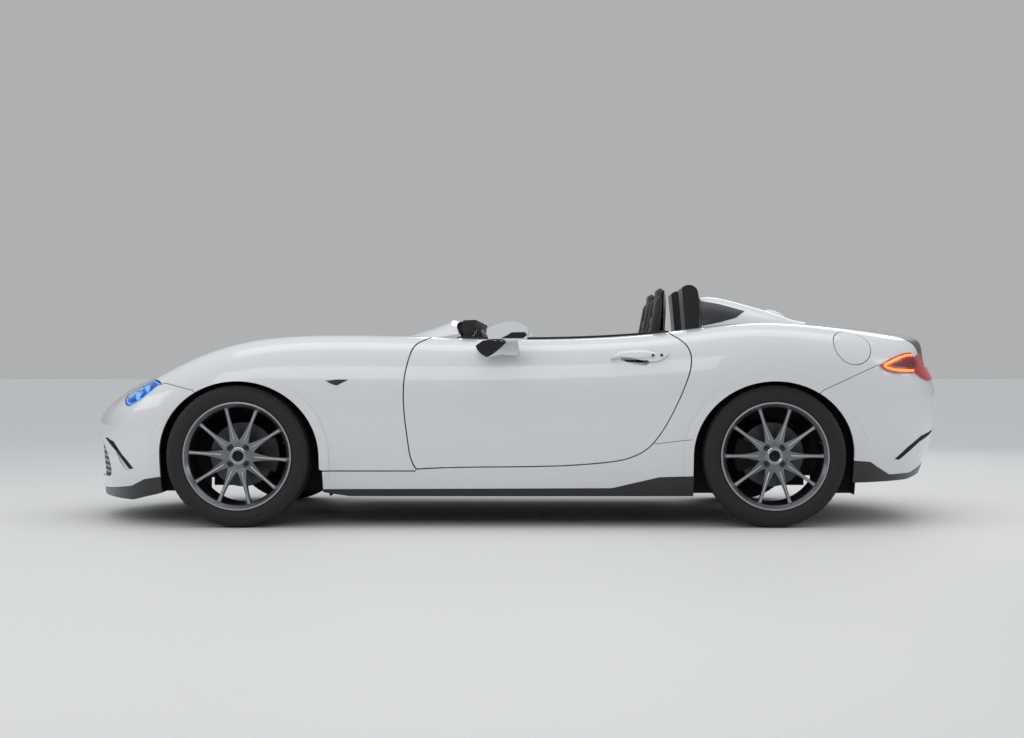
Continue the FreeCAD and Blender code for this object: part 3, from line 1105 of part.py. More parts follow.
steering_place, steering_side, steering_height = STEERING_PLACE_SHARES
steering_centre = V(x_at(steering_place), steering_side * HALF_WIDTH, steering_height * SHOULDER_HEIGHT)
steering_turn = FreeCAD.Rotation(V(0, 1, 0), 90 - STEERING_TILT)
steering_axis = steering_turn.multVec(V(0, 0, 1))
column_start = steering_centre - steering_axis * (BOSS_DEPTH + SEAT_GAP)
column = rod(column_start, column_start - steering_axis * COLUMN_LENGTH, COLUMN_RADIUS)
save("dashboard", largest(fused([dash, console, lever, knob, column])))

# Steering wheel: rim, boss and three spokes, square to its column
steering_pieces = [Part.makeTorus(STEERING_RADIUS, STEERING_GRIP)]
steering_pieces.append(Part.makeCylinder(BOSS_RADIUS, BOSS_DEPTH, V(0, 0, -BOSS_DEPTH)))
for turn in STEERING_SPOKE_TURNS:
    spoke = block(
        0, STEERING_RADIUS, -STEERING_SPOKE_WIDTH / 2, STEERING_SPOKE_WIDTH / 2,
        -STEERING_SPOKE_WALL, 0)
    spoke.rotate(V(0, 0, 0), V(0, 0, 1), turn)
    steering_pieces.append(spoke)
steering = fused(steering_pieces)
steering.Placement = FreeCAD.Placement(steering_centre, steering_turn)
save("steering_wheel", steering)

# Seats
seat_runs = [side_points(run) for run in (
    SEAT_CUSHION_SHARES, SEAT_BACK_SHARES, SEAT_TOP_SHARES, SEAT_REAR_SHARES, SEAT_FOOT_SHARES)]
seat_inner, seat_outer = SEAT_Y - SEAT_WIDTH / 2, SEAT_Y + SEAT_WIDTH / 2
bolster_runs = [side_points(run) for run in (
    BOLSTER_CUSHION_SHARES, BOLSTER_BACK_SHARES, BOLSTER_TOP_SHARES, BOLSTER_REAR_SHARES, SEAT_FOOT_SHARES)]
seat_pieces = [side_prism(seat_runs, 0, seat_inner + BOLSTER_WIDTH, seat_outer - BOLSTER_WIDTH)]
for start in (seat_inner, seat_outer - BOLSTER_WIDTH):
    seat_pieces.append(side_prism(bolster_runs, 0, start, start + BOLSTER_WIDTH))
base_front, base_rear = [x_at(share) for share in SEAT_BASE_SHARES]
seat_pieces.append(block(
    base_front, base_rear, SEAT_Y - SEAT_RAIL_WIDTH / 2, SEAT_Y + SEAT_RAIL_WIDTH / 2,
    CABIN_FLOOR + SEAT_GAP, SEAT_BASE_SHARE * SHOULDER_HEIGHT))
save_pair("seat", largest(fused(seat_pieces)))

# Mirrors on the doors
mirror_top, mirror_foot = side_points(MIRROR_TOP_SHARES), side_points(MIRROR_FOOT_SHARES)
mirror_runs = [mirror_top, [mirror_top[-1], mirror_foot[0]], mirror_foot, [mirror_foot[-1], mirror_top[0]]]
mirror_cap = side_prism(mirror_runs, 0, MIRROR_Y, MIRROR_Y + MIRROR_WIDTH)
arm_runs = straight(side_points(MIRROR_ARM_SHARES + MIRROR_ARM_SHARES[:1]))
mirror_arm = side_prism(arm_runs, 0, MIRROR_FOOT_Y, MIRROR_FOOT_Y + MIRROR_FOOT_WIDTH)
mirror = fused([mirror_cap, mirror_arm]).cut(half_body(-SEAT_GAP))
save_pair("mirror", largest(mirror))

# Fuel flap in the left rear quarter, over its well
flap_place, flap_height = FLAP_PLACE_SHARES
probe = Part.makeLine(
    V(x_at(flap_place), CABIN_INNER, flap_height * SHOULDER_HEIGHT),
    V(x_at(flap_place), HALF_WIDTH + QUARTER_WALL, flap_height * SHOULDER_HEIGHT))
flap_centre = max((vertex.Point for vertex in body.common(probe).Vertexes), key=lambda point: point.y)
skin_face = min(body.Faces, key=lambda face: face.distToShape(Part.Vertex(flap_centre))[0])
flap_normal = skin_face.normalAt(*skin_face.Surface.parameter(flap_centre))
flap_hinge = flap_centre + V(1, 0, 0).cross(flap_normal).cross(flap_normal) * (FLAP_RADIUS - FLAP_HINGE_RADIUS)


def flap_drum(radius, depth, rise, centre=flap_centre):
    """A cylinder square to the skin at the flap, from a depth below it to a rise above it."""
    return Part.makeCylinder(radius, depth + rise, centre - flap_normal * depth, flap_normal)


flap = layer(0, FLAP_WALL).common(flap_drum(FLAP_RADIUS, FLAP_WELL, FLAP_WELL))
flap = flap.fuse(flap_drum(FLAP_HINGE_RADIUS, FLAP_WELL - SEAT_GAP, -FLAP_WALL / 2, flap_hinge))
save("fuel_flap", mirrored(largest(flap)))
well_wall = flap_drum(FLAP_RADIUS + FLAP_GAP + FLAP_WALL, FLAP_WELL + FLAP_WALL, 0)
well_wall = well_wall.common(half_body(FLAP_WALL))
well = flap_drum(FLAP_RADIUS + FLAP_GAP, FLAP_WELL, FLAP_WELL)
save("body_side_left", mirrored(largest(side.fuse(well_wall).cut(well))))

# Lower trim
skirt = body.common(side_prism(SKIRT_RUNS, -SEAT_GAP / 2, CABIN_HALF_WIDTH))
save_pair("side_skirt", largest(skirt.cut(front_room).cut(rear_room)))
splitter = body.common(side_prism(SPLITTER_RUNS, -SEAT_GAP / 2)).cut(front_opening).cut(front_room)
nose_room = block(x_at(SPLITTER_BACK_SHARE), OVERRUN, 0, SLOT_Y, 0, OVERRUN)
save("front_splitter", whole(largest(splitter.cut(nose_room))))
diffuser = body.common(side_prism(DIFFUSER_RUNS, -SEAT_GAP / 2)).cut(rear_opening).cut(rear_room)
save("rear_diffuser", whole(largest(diffuser.cut(half_body(DIFFUSER_WALL)))))

# Grille across the mouth
grille = layer(BUMPER_WALL + SEAT_GAP, BUMPER_WALL + SEAT_GAP + GRILLE_WALL)
save("grille", whole(largest(grille.common(prism(mouth_runs, mouth_depth, GRILLE_WALL)))))

# Engine, one plain block on the front crossmember
engine_front = x_at(ENGINE_FRONT_SHARE)
engine_foot = CROSSMEMBER_FOOT + CROSSMEMBER_HEIGHT + SEAT_GAP
save("engine_block", block(
    engine_front, engine_front + ENGINE_LENGTH, -ENGINE_WIDTH / 2, ENGINE_WIDTH / 2,
    engine_foot, engine_foot + ENGINE_HEIGHT))

# Floor, open tunnel, bulkheads, rails, boot floor and wheel houses in one piece
cabin_front = x_at(COCKPIT_FRONT_SHARE) - FOOTWELL_LENGTH
cabin_rear = x_at(REAR_BULKHEAD_SHARE)
side_y = CABIN_HALF_WIDTH - SEAT_GAP
rear_side_y = COCKPIT_HALF_WIDTH - SEAT_GAP
floor_foot = CABIN_FLOOR - FLOOR_WALL
shell = [block(cabin_front, cabin_rear, -side_y, side_y, floor_foot, CABIN_FLOOR)]
shell.append(block(cabin_front, cabin_rear, -TUNNEL_HALF_WIDTH, TUNNEL_HALF_WIDTH, floor_foot, TUNNEL_TOP))
shell.append(block(cabin_front, cabin_front + BULKHEAD_WALL, -side_y, side_y, floor_foot, BULKHEAD_TOP))
rear_bulkhead = block(
    cabin_rear - BULKHEAD_WALL, cabin_rear, -rear_side_y, rear_side_y, floor_foot, OVERRUN)
shell.append(rear_bulkhead.common(under_skin.fuse(mirrored(under_skin))))
rail_y = FRONT_HOUSE_Y - HOUSE_WALL - RAIL_WIDTH
rail_top = RAIL_FOOT + RAIL_HEIGHT
nose_x, tail_x = x_at(FRONT_RAIL_SHARE), x_at(REAR_RAIL_SHARE)
for start in (rail_y, -rail_y - RAIL_WIDTH):
    shell.append(block(nose_x, cabin_front, start, start + RAIL_WIDTH, RAIL_FOOT, rail_top))
    shell.append(block(cabin_rear, tail_x, start, start + RAIL_WIDTH, RAIL_FOOT, rail_top))
shell.append(block(nose_x, nose_x + RAIL_WIDTH, -rail_y, rail_y, RAIL_FOOT, rail_top))
shell.append(block(tail_x - RAIL_WIDTH, tail_x, -rail_y, rail_y, RAIL_FOOT, rail_top))
boot_rear = x_at(BOOT_REAR_SHARE)
boot_side = REAR_HOUSE_Y - HOUSE_WALL
shell.append(block(cabin_rear, boot_rear, -boot_side, boot_side, rail_top, rail_top + BOOT_FLOOR_WALL))
tunnel_inner = TUNNEL_HALF_WIDTH - TUNNEL_WALL
tunnel = block(-OVERRUN, OVERRUN, -tunnel_inner, tunnel_inner, 0, TUNNEL_TOP - TUNNEL_WALL)


def wheel_house(axle_x, margin, inner, core):
    """Shell round a wheel's room, inside the body's skin, with a bay for the spring and arms."""
    outside = wheel_opening(axle_x, margin + HOUSE_WALL, inner - HOUSE_WALL)
    outside = outside.common(block(-OVERRUN, OVERRUN, 0, OVERRUN, GROUND_CLEARANCE, OVERRUN))
    house = outside.common(core).cut(wheel_opening(axle_x, margin, inner))
    bay = block(axle_x - DAMPER_BAY, axle_x + DAMPER_BAY, 0, OVERRUN, 0, RAIL_FOOT)
    return house.cut(bay)


for axle_x, margin, inner, core in (
        (FRONT_AXLE_X, FRONT_HOUSE_MARGIN, FRONT_HOUSE_Y, half_body(BUMPER_WALL + SEAT_GAP)),
        (REAR_AXLE_X, REAR_HOUSE_MARGIN, REAR_HOUSE_Y, half_body(QUARTER_WALL + SEAT_GAP))):
    house = wheel_house(axle_x, margin, inner, core)
    shell += [house, mirrored(house)]
save("underbody", largest(fused(shell).cut(tunnel)))
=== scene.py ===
"""Looks of an open two-seat roadster: paint, trim, lamps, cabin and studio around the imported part.

Sizes are in millimetres. Meshes are made in metres in the part's own frame, nose towards -X,
left-hand side towards -Y, the ground at z = 0.
"""

import logging
from dataclasses import dataclass, field
from enum import Enum
from math import pi, radians
from typing import Sequence

import bmesh
import bpy
import numpy as np
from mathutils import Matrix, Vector
from mathutils.bvhtree import BVHTree

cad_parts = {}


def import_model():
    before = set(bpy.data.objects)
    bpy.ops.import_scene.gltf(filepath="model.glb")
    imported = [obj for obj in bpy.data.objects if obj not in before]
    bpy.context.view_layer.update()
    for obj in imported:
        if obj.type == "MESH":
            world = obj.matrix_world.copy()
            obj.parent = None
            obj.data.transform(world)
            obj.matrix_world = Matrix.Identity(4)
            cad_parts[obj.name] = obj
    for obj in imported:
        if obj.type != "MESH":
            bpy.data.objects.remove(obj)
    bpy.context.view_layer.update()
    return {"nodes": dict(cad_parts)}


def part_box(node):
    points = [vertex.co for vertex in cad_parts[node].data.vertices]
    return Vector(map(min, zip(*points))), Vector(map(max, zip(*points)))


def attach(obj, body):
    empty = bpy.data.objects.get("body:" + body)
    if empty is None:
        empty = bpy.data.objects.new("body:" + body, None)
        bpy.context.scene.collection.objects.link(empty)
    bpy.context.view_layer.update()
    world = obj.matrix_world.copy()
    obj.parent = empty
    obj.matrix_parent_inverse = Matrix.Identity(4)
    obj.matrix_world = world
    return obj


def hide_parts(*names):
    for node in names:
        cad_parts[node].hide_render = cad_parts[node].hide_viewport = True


LOG = logging.getLogger("roadster")
Array = np.ndarray
# A line's (x, z) places, a turned profile's (radius, place along its axis) or a table's (share, size).
Pairs = tuple[tuple[float, float], ...]

MM = 0.001
# How far from the middle plane pieces are dropped onto the outer skin and onto a door's inner face,
# and the height that they are dropped from onto the car's top.
OUTSIDE, INSIDE, OVERHEAD = 1000.0, 300.0, 1200.0
FORWARDS, REARWARDS = (-1.0, 0.0, 0.0), (1.0, 0.0, 0.0)
UPWARDS, DOWNWARDS = (0.0, 0.0, 1.0), (0.0, 0.0, -1.0)
# Points this near become one, and edges this short are closed, in metres.
WELD, SLIVER = 1e-5, 1e-6
SHARP_ANGLE = radians(38)
# Colour drifts in patches this many grains wide, and turned rings rise this share of the grain.
DRIFT_GRAINS = 60
RING_SHARE = 0.35
# A padded form's ends close over this many stations and keep this share of their width, the rest
# swelling with them, and a seam is this many stations wide each way.
END_STATIONS = 9
END_WIDTH, END_SWELL = 0.82, 0.18
SEAM_STATIONS = 1.3
# Sockets of a Mix node in its colour mode: both inputs and the output.
MIX_A, MIX_B, MIX_OUT = 6, 7, 2


class Side(Enum):
    """Which side of the car a piece is on; the value is the sign of its y."""

    LEFT = -1
    RIGHT = 1

    @property
    def word(self) -> str:
        """The side as it stands in node names."""
        return self.name.lower()

    @property
    def out(self) -> tuple[float, float, float]:
        """Direction away from the car's middle plane."""
        return (0.0, float(self.value), 0.0)

    @property
    def inwards(self) -> tuple[float, float, float]:
        """Direction towards the car's middle plane."""
        return (0.0, -float(self.value), 0.0)


class End(Enum):
    """Which end of the car a wheel is at; the value is how it stands in node names."""

    FRONT = "front"
    REAR = "rear"


# Materials


def linear(colour: str) -> tuple[float, float, float, float]:
    """Turn an sRGB hex colour into linear values.

    Args:
        colour: six hex digits with a leading hash.

    Returns:
        Red, green, blue and a full alpha.
    """
    parts = [int(colour[i:i + 2], 16) / 255 for i in (1, 3, 5)]
    turned = [p / 12.92 if p <= 0.04045 else ((p + 0.055) / 1.055) ** 2.4 for p in parts]
    return (*turned, 1.0)


def add(tree: bpy.types.NodeTree, kind: str, settings: dict | None = None,
        links: dict | None = None) -> bpy.types.Node:
    """Add one node with its settings and links.

    Args:
        tree: the node tree.
        kind: node type without its prefix ShaderNode.
        settings: node attributes, and input values by socket name or number.
        links: output sockets by the name or number of the input that they feed.

    Returns:
        The new node.
    """
    node = tree.nodes.new("ShaderNode" + kind)
    for key, value in (settings or {}).items():
        if isinstance(key, str) and hasattr(node, key):
            setattr(node, key, value)
        else:
            node.inputs[key].default_value = value
    for key, socket in (links or {}).items():
        tree.links.new(socket, node.inputs[key])
    return node


@dataclass(frozen=True)
class Finish:
    """A surface finish: what it is made of and how it was made.

    Grain is the size in millimetres of its finest texture and depth how far it rises.
    """

    name: str
    colour: str
    roughness: float
    metallic: float = 0.0
    coat: float = 0.0
    coat_roughness: float = 0.03
    grain: float = 1.0
    depth: float = 0.0
    drift: float = 0.0
    sheen: float = 0.0
    emission: str = ""
    strength: float = 0.0
    see_through: float = 0.0
    ior: float = 1.5
    flake: float = 0.0
    rings: tuple[float, ...] = ()
    ring_pitch: float = 0.0

    def build(self) -> bpy.types.Material:
        """Make the node material.

        Returns:
            The material, made once and then reused.
        """
        if self.name in bpy.data.materials:
            return bpy.data.materials[self.name]
        material = bpy.data.materials.new(self.name)
        material.use_nodes = True
        tree = material.node_tree
        tree.nodes.clear()
        place = add(tree, "TexCoord").outputs["Object"]
        shader = add(tree, "BsdfPrincipled", {
            "Roughness": self.roughness, "Metallic": self.metallic, "Coat Weight": self.coat,
            "Coat Roughness": self.coat_roughness, "Transmission Weight": self.see_through,
            "Sheen Weight": self.sheen, "Base Color": linear(self.colour)})
        if not self.metallic:
            shader.inputs["IOR"].default_value = self.ior
        if self.emission:
            shader.inputs["Emission Color"].default_value = linear(self.emission)
            shader.inputs["Emission Strength"].default_value = self.strength
        self.colour_nodes(tree, place, shader)
        self.relief_nodes(tree, place, shader)
        add(tree, "OutputMaterial", links={"Surface": shader.outputs[0]})
        return material

    def colour_nodes(self, tree: bpy.types.NodeTree, place: bpy.types.NodeSocket,
                     shader: bpy.types.Node) -> None:
        """Let the colour drift slowly over the piece and sparkle with flakes.

        Args:
            tree: the material's tree.
            place: object coordinates.
            shader: the principled shader.
        """
        if not self.drift and not self.flake:
            return
        slow = add(tree, "TexNoise", {"Scale": 1000 / (self.grain * DRIFT_GRAINS), "Detail": 3.0},
                   {"Vector": place})
        base = linear(self.colour)
        dark = tuple(c * (1 - self.drift) for c in base[:3]) + (1.0,)
        light = tuple(min(1.0, c * (1 + self.drift)) for c in base[:3]) + (1.0,)
        mixed = add(tree, "Mix", {"data_type": "RGBA", MIX_A: dark, MIX_B: light}, {0: slow.outputs["Fac"]})
        colour = mixed.outputs[MIX_OUT]
        if self.flake:
            cells = add(tree, "TexVoronoi", {"Scale": 1000 / self.grain}, {"Vector": place})
            spark = add(tree, "Mix", {"data_type": "RGBA", "blend_type": "SOFT_LIGHT", 0: self.flake},
                        {MIX_A: colour, MIX_B: cells.outputs["Color"]})
            colour = spark.outputs[MIX_OUT]
        tree.links.new(colour, shader.inputs["Base Color"])

    def relief_nodes(self, tree: bpy.types.NodeTree, place: bpy.types.NodeSocket,
                     shader: bpy.types.Node) -> None:
        """Raise the surface's texture, with turned rings where the piece has them.

        Args:
            tree: the material's tree.
            place: object coordinates.
            shader: the principled shader.
        """
        if not self.depth:
            return
        fine = add(tree, "TexNoise", {"Scale": 1000 / self.grain, "Detail": 2.0}, {"Vector": place})
        height = fine.outputs["Fac"]
        if self.rings:
            moved = add(tree, "Mapping", {"Location": tuple(-v for v in self.rings)}, {"Vector": place})
            split = add(tree, "SeparateXYZ", links={0: moved.outputs[0]})
            flat = add(tree, "CombineXYZ", links={0: split.outputs[0], 2: split.outputs[2]})
            far = add(tree, "VectorMath", {"operation": "LENGTH"}, {0: flat.outputs[0]})
            turns = add(tree, "Math", {"operation": "MULTIPLY", 1: 2 * pi * 1000 / self.ring_pitch},
                        {0: far.outputs["Value"]})
            wave = add(tree, "Math", {"operation": "SINE"}, {0: turns.outputs[0]})
            both = add(tree, "Math", {"operation": "MULTIPLY_ADD", 1: RING_SHARE},
                       {0: wave.outputs[0], 2: height})
            height = both.outputs[0]
        bump = add(tree, "Bump", {"Strength": 1.0, "Distance": self.depth * MM}, {"Height": height})
        tree.links.new(bump.outputs[0], shader.inputs["Normal"])


# Pearl white lacquer, sprayed and clear-coated: bright body, tight highlights, faint orange peel.
PEARL = Finish("pearl_white_lacquer", "#DCDDDF", 0.32, coat=1.0, coat_roughness=0.02, grain=9.0,
               depth=0.02, drift=0.008)
# Satin black lacquer on rolled sheet: broad soft highlights.
SATIN_BLACK = Finish("satin_black_lacquer", "#1B1C1F", 0.38, coat=0.25, coat_roughness=0.25, grain=7.0,
                     depth=0.015, drift=0.05)
# Black lacquered roll-hoop cover: deep black with soft highlights along its edges.
POD_BLACK = Finish("lacquered_black_pod", "#060607", 0.30, coat=0.12, coat_roughness=0.2, grain=6.0,
                   depth=0.01)
# Spray-painted cast aluminium wheel in metallic grey: a fine sparkle under a soft gloss.
WHEEL_GREY = Finish("gunmetal_painted_alloy", "#7A7C80", 0.27, metallic=0.95, coat=0.5,
                    coat_roughness=0.12, grain=0.8, depth=0.01, drift=0.04, flake=0.15)
# The same alloy with a painted highlight: a lighter colour on the crests of the spokes, the rim's lip and the
# cap's ring and collar, where highlights fall.
PAINTED_HIGHLIGHT = Finish("brightened_alloy_edge", "#B2B4B8", 0.22, metallic=1.0, coat=0.6,
                     coat_roughness=0.08, grain=3.0, depth=0.004)
# Black zinc plate on pressed steel: dark, with small sharp lights; the same dark colour is also laid round
# the wheel bolts as painted shade in their pockets.
BLACK_ZINC_AND_POCKET_SHADE = Finish("black_zinc_plated_steel", "#1B1B1D", 0.34, metallic=1.0, coat=0.3, grain=1.2, depth=0.01)
# Moulded grained ABS: fine leather-like grain, dull.
BLACK_ABS = Finish("grained_black_abs", "#161718", 0.55, grain=0.9, depth=0.05, drift=0.08)
# High-gloss moulded ABS: near black, with clear reflections.
GLOSS_ABS = Finish("gloss_black_abs", "#050506", 0.14, coat=0.5, grain=10.0, depth=0.01)
# Dyed hide over foam: pebbled, with a soft sheen.
HIDE = Finish("black_dyed_hide", "#0F0F11", 0.52, grain=2.2, depth=0.10, drift=0.10, sheen=0.08)
# Twisted polyester thread: dark grey, a touch lighter than the hide.
THREAD = Finish("polyester_sewing_thread", "#5B5C5E", 0.6, grain=0.5, depth=0.02, drift=0.1, sheen=0.2)
# Soft-touch moulded polyurethane skin: flat, dull and finely grained.
SOFT_SKIN = Finish("moulded_polyurethane_skin", "#131416", 0.62, grain=1.4, depth=0.06, drift=0.06)
# Sprayed rubber underseal: rough and flat black.
UNDERSEAL = Finish("sprayed_rubber_underseal", "#121213", 0.78, grain=2.5, depth=0.12, drift=0.10)
# Cast iron, as cast: coarse, with a light brown tinge.
CAST_IRON = Finish("cast_iron", "#4A4744", 0.62, metallic=0.85, grain=1.6, depth=0.10, drift=0.18)
# Sand-cast aluminium: light grey and sparkling at its grains.
CAST_ALLOY = Finish("sand_cast_aluminium", "#8F9193", 0.48, metallic=1.0, grain=1.8, depth=0.12, drift=0.10)
# Polycarbonate outer lens, moulded and hard-coated: clear, faintly blue.
LENS = Finish("hard_coated_polycarbonate", "#DCEBFF", 0.02, see_through=1.0, ior=1.3)
# Metallised inner bowl of the headlamp: blue, glowing with a painted light that stands for the blue light of
# the guides.
BOWL_BLUE = Finish("metallised_blue_bowl", "#0B3F8F", 0.16, metallic=0.7, coat=0.5, grain=8.0, depth=0.12,
                   drift=0.4, emission="#0B52C4", strength=0.42)
# Pressed glass projector lens: bright, with the lamp's light in it.
PROJECTOR = Finish("pressed_projector_glass", "#A9D4FF", 0.04, coat=1.0, emission="#5FB4FF", strength=0.9,
                   grain=5.0, depth=0.01)
# Extruded acrylic light guide, lit blue from its end.
GLOW_BLUE = Finish("lit_blue_light_guide", "#6FC6FF", 0.2, emission="#49AEFF", strength=1.5)
# Red acrylic lens, moulded: glossy, glowing faintly.
RED_LENS = Finish("red_acrylic_lens", "#8A0704", 0.16, coat=0.1, see_through=0.1, ior=1.49,
                  emission="#FF1604", strength=0.14, grain=12.0, depth=0.01, drift=0.06)
# Moulded dark red bowl, with a faint painted glow standing for light from the guide at its edge.
TAIL_BOWL = Finish("moulded_dark_red_bowl", "#3A0402", 0.42, grain=6.0, depth=0.06, drift=0.3,
                   emission="#A00C03", strength=0.12)
# The same guide lit red, orange where it is brightest.
GLOW_RED = Finish("lit_red_light_guide", "#FF7A3A", 0.2, emission="#FF6A1E", strength=2.4)
# Smoked moulded lens of the side repeaters: near black and glossy.
SMOKED = Finish("smoked_repeater_lens", "#1A1716", 0.1, coat=1.0, grain=4.0, depth=0.01, drift=0.1)
# Vacuum-coated reflector: a clear silver mirror.
CHROME = Finish("vacuum_coated_reflector", "#C9CCD0", 0.08, metallic=1.0, grain=6.0, depth=0.01)
# Silvered glass of the door mirrors: a clean reflection.
MIRROR_GLASS = Finish("silvered_mirror_glass", "#BFC4C8", 0.01, metallic=1.0)
# Extruded rubber seals: flat black.
SEAL = Finish("extruded_rubber_seal", "#0C0C0D", 0.7, grain=1.5, depth=0.03)
# Ink of the dial marks: flat white.
DIAL_WHITE = Finish("printed_dial_white", "#E9E9E6", 0.5, grain=2.0, depth=0.005)
# Primer in the shadow of a gap between pressed panels: flat, almost black.
GAP_BLACK = Finish("primer_in_panel_gap", "#0E0F10", 0.85, grain=2.0, depth=0.01)


def turned_finish(name: str, node: str, colour: str, roughness: float, metallic: float, pitch: float,
                  depth: float) -> Finish:
    """A finish with fine rings about a wheel's axle.

    Args:
        name: finish name, to which the node's is added, because each wheel has an axle of its own.
        node: packed wheel piece that the rings are centred on.
        colour: sRGB hex.
        roughness: of the surface.
        metallic: share of metal.
        pitch: distance between rings, millimetres.
        depth: ring height, millimetres.

    Returns:
        The finish.
    """
    low, high = (Vector(corner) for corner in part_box(node))
    return Finish(f"{name}_{node}", colour, roughness, metallic, grain=1.1, depth=depth, drift=0.08,
                  rings=tuple((low + high) / 2), ring_pitch=pitch)


def tyre_rubber(node: str) -> Finish:
    """Moulded rubber: dull, with the fine circles that the mould's turning leaves."""
    return turned_finish("moulded_tyre_rubber", node, "#131313", 0.68, 0.0, 2.4, 0.08)


def turned_iron(node: str) -> Finish:
    """Turned cast iron, swept bright by the pads in fine circles."""
    return turned_finish("turned_iron", node, "#4B4C4F", 0.32, 1.0, 1.6, 0.05)


# Meshes


@dataclass
class Patch:
    """A surface on a grid of points (rows, columns, 3), open or closed each way."""

    points: Array
    round_rows: bool = False
    round_columns: bool = False

    def faces(self, start: int) -> Array:
        """Number the four corners of every cell of the grid, row by row.

        Args:
            start: number of the patch's first vertex.

        Returns:
            Corner numbers, one row a face.
        """
        rows, columns = self.points.shape[:2]
        u = np.arange(rows if self.round_rows else rows - 1)[:, None]
        v = np.arange(columns if self.round_columns else columns - 1)[None, :]
        next_u, next_v = (u + 1) % rows, (v + 1) % columns
        corners = [u * columns + v, u * columns + next_v, next_u * columns + next_v, next_u * columns + v]
        return np.stack(corners, -1).reshape(-1, 4) + start


def build(name: str, patches: Sequence[Patch], finish: Finish,
          body: str = "chassis") -> bpy.types.Object:
    """Put patches into one mesh, close its seams and give it its finish and body.

    Args:
        name: object name.
        patches: the surfaces.
        finish: the finish.
        body: the body that it rides on.

    Returns:
        The object.
    """
    starts = np.cumsum([0] + [p.points.shape[0] * p.points.shape[1] for p in patches])
    points = np.concatenate([p.points.reshape(-1, 3) for p in patches])
    faces = np.concatenate([p.faces(s) for p, s in zip(patches, starts)])
    mesh = bpy.data.meshes.new(name)
    mesh.vertices.add(len(points))
    mesh.vertices.foreach_set("co", points.astype(np.float32).ravel())
    mesh.loops.add(faces.size)
    mesh.loops.foreach_set("vertex_index", faces.astype(np.int32).ravel())
    mesh.polygons.add(len(faces))
    mesh.polygons.foreach_set("loop_start", np.arange(0, faces.size, 4, dtype=np.int32))
    mesh.update(calc_edges=True)
    work = bmesh.new()
    work.from_mesh(mesh)
    bmesh.ops.remove_doubles(work, verts=work.verts, dist=WELD)
    bmesh.ops.dissolve_degenerate(work, dist=SLIVER, edges=work.edges)
    bmesh.ops.recalc_face_normals(work, faces=work.faces)
    work.to_mesh(mesh)
    work.free()
    mesh.polygons.foreach_set("use_smooth", np.ones(len(mesh.polygons), dtype=bool))
    mesh.set_sharp_from_angle(angle=SHARP_ANGLE)
    piece = bpy.data.objects.new(name, mesh)
    bpy.context.scene.collection.objects.link(piece)
    mesh.materials.append(finish.build())
    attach(piece, body)
    LOG.info("%s: %d faces on %s", name, len(mesh.polygons), body)
    return piece


def unit(rows: Array) -> Array:
    """Vectors scaled to length one."""
    return rows / np.linalg.norm(rows, axis=-1, keepdims=True)


def circle(count: int) -> Array:
    """Even angles once round, from zero."""
    return np.linspace(0, 2 * pi, count, endpoint=False)


def rounded(count: int, power: float) -> tuple[Array, Array]:
    """Points round |a|^(2/p) + |b|^(2/p) = 1: a = sign(cos) |cos|^p and b = sign(sin) |sin|^p.

    Args:
        count: points round.
        power: 1 is a circle, less is squarer.

    Returns:
        All a and all b.
    """
    turn = circle(count)
    a, b = (np.sign(wave) * np.abs(wave) ** power for wave in (np.cos(turn), np.sin(turn)))
    return a, b


def smooth_run(points: Array, count: int) -> Array:
    """Even points on a smooth curve through a few: Catmull-Rom, each span a cubic of its neighbours.

    Args:
        points: the few points, (n, d).
        count: how many to return.

    Returns:
        The points, (count, d).
    """
    points = np.asarray(points, float)
    padded = np.concatenate([2 * points[:1] - points[1:2], points, 2 * points[-1:] - points[-2:-1]])
    place = np.linspace(0, len(points) - 1, count)
    span = np.minimum(place.astype(int), len(points) - 2)
    t = (place - span)[:, None]
    a, b, c, d = (padded[span + k] for k in range(4))
    bend = 2 * a - 5 * b + 4 * c - d
    return 0.5 * (2 * b + (c - a) * t + bend * t ** 2 + (3 * b - a - 3 * c + d) * t ** 3)


def side_run(places: Pairs, side: Side, count: int, y: float = OUTSIDE) -> Array:
    """A smooth run through side-view places, all as far from the middle plane.

    Args:
        places: (x, z), millimetres.
        side: side of the car.
        count: points returned.
        y: distance from the middle plane, millimetres.

    Returns:
        The run in metres, (count, 3).
    """
    return smooth_run(np.array([(x, y * side.value, z) for x, z in places]) * MM, count)


def distances(path: Array) -> Array:
    """Distance of each point of a path from the first, summed over its straight runs."""
    return np.concatenate([[0], np.cumsum(np.linalg.norm(np.diff(path, axis=0), axis=1))])


def walk(path: Array, far: Array, places: Array) -> Array:
    """Points at given distances along a path, between its points in straight lines.

    Args:
        path: its points, (n, 3).
        far: their distances from the first.
        places: the distances asked for.

    Returns:
        One point a place.
    """
    return np.stack([np.interp(places, far, path[:, k]) for k in range(3)], 1)


def outline(places: Pairs, side: Side, count: int, smooth: bool = True) -> Array:
    """A closed outline in side view, run round its corner points well outside the skin.

    Args:
        places: (x, z) in millimetres, in order round.
        side: side of the car.
        count: points returned.
        smooth: a smooth run, or straight runs.

    Returns:
        The outline in metres, (count, 3).
    """
    corners = np.array([(x, OUTSIDE * side.value, z) for x, z in places]) * MM
    if smooth:
        padded = np.concatenate([corners[-1:], corners, corners[:2]])
        start = count // len(corners)
        return smooth_run(padded, count * (len(padded) - 1) // len(corners) + 1)[start:start + count]
    ring = np.concatenate([corners, corners[:1]])
    far = distances(ring)
    return walk(ring, far, np.linspace(0, far[-1], count, endpoint=False))


def drawn_in(grid: Array) -> Array:
    """A grid of closed rows with one more row at each end, gathered at that end's mean."""
    ends = [np.repeat(grid[k].mean(0)[None, None], grid.shape[1], 1) for k in (0, -1)]
    return np.concatenate([ends[0], grid, ends[1]])


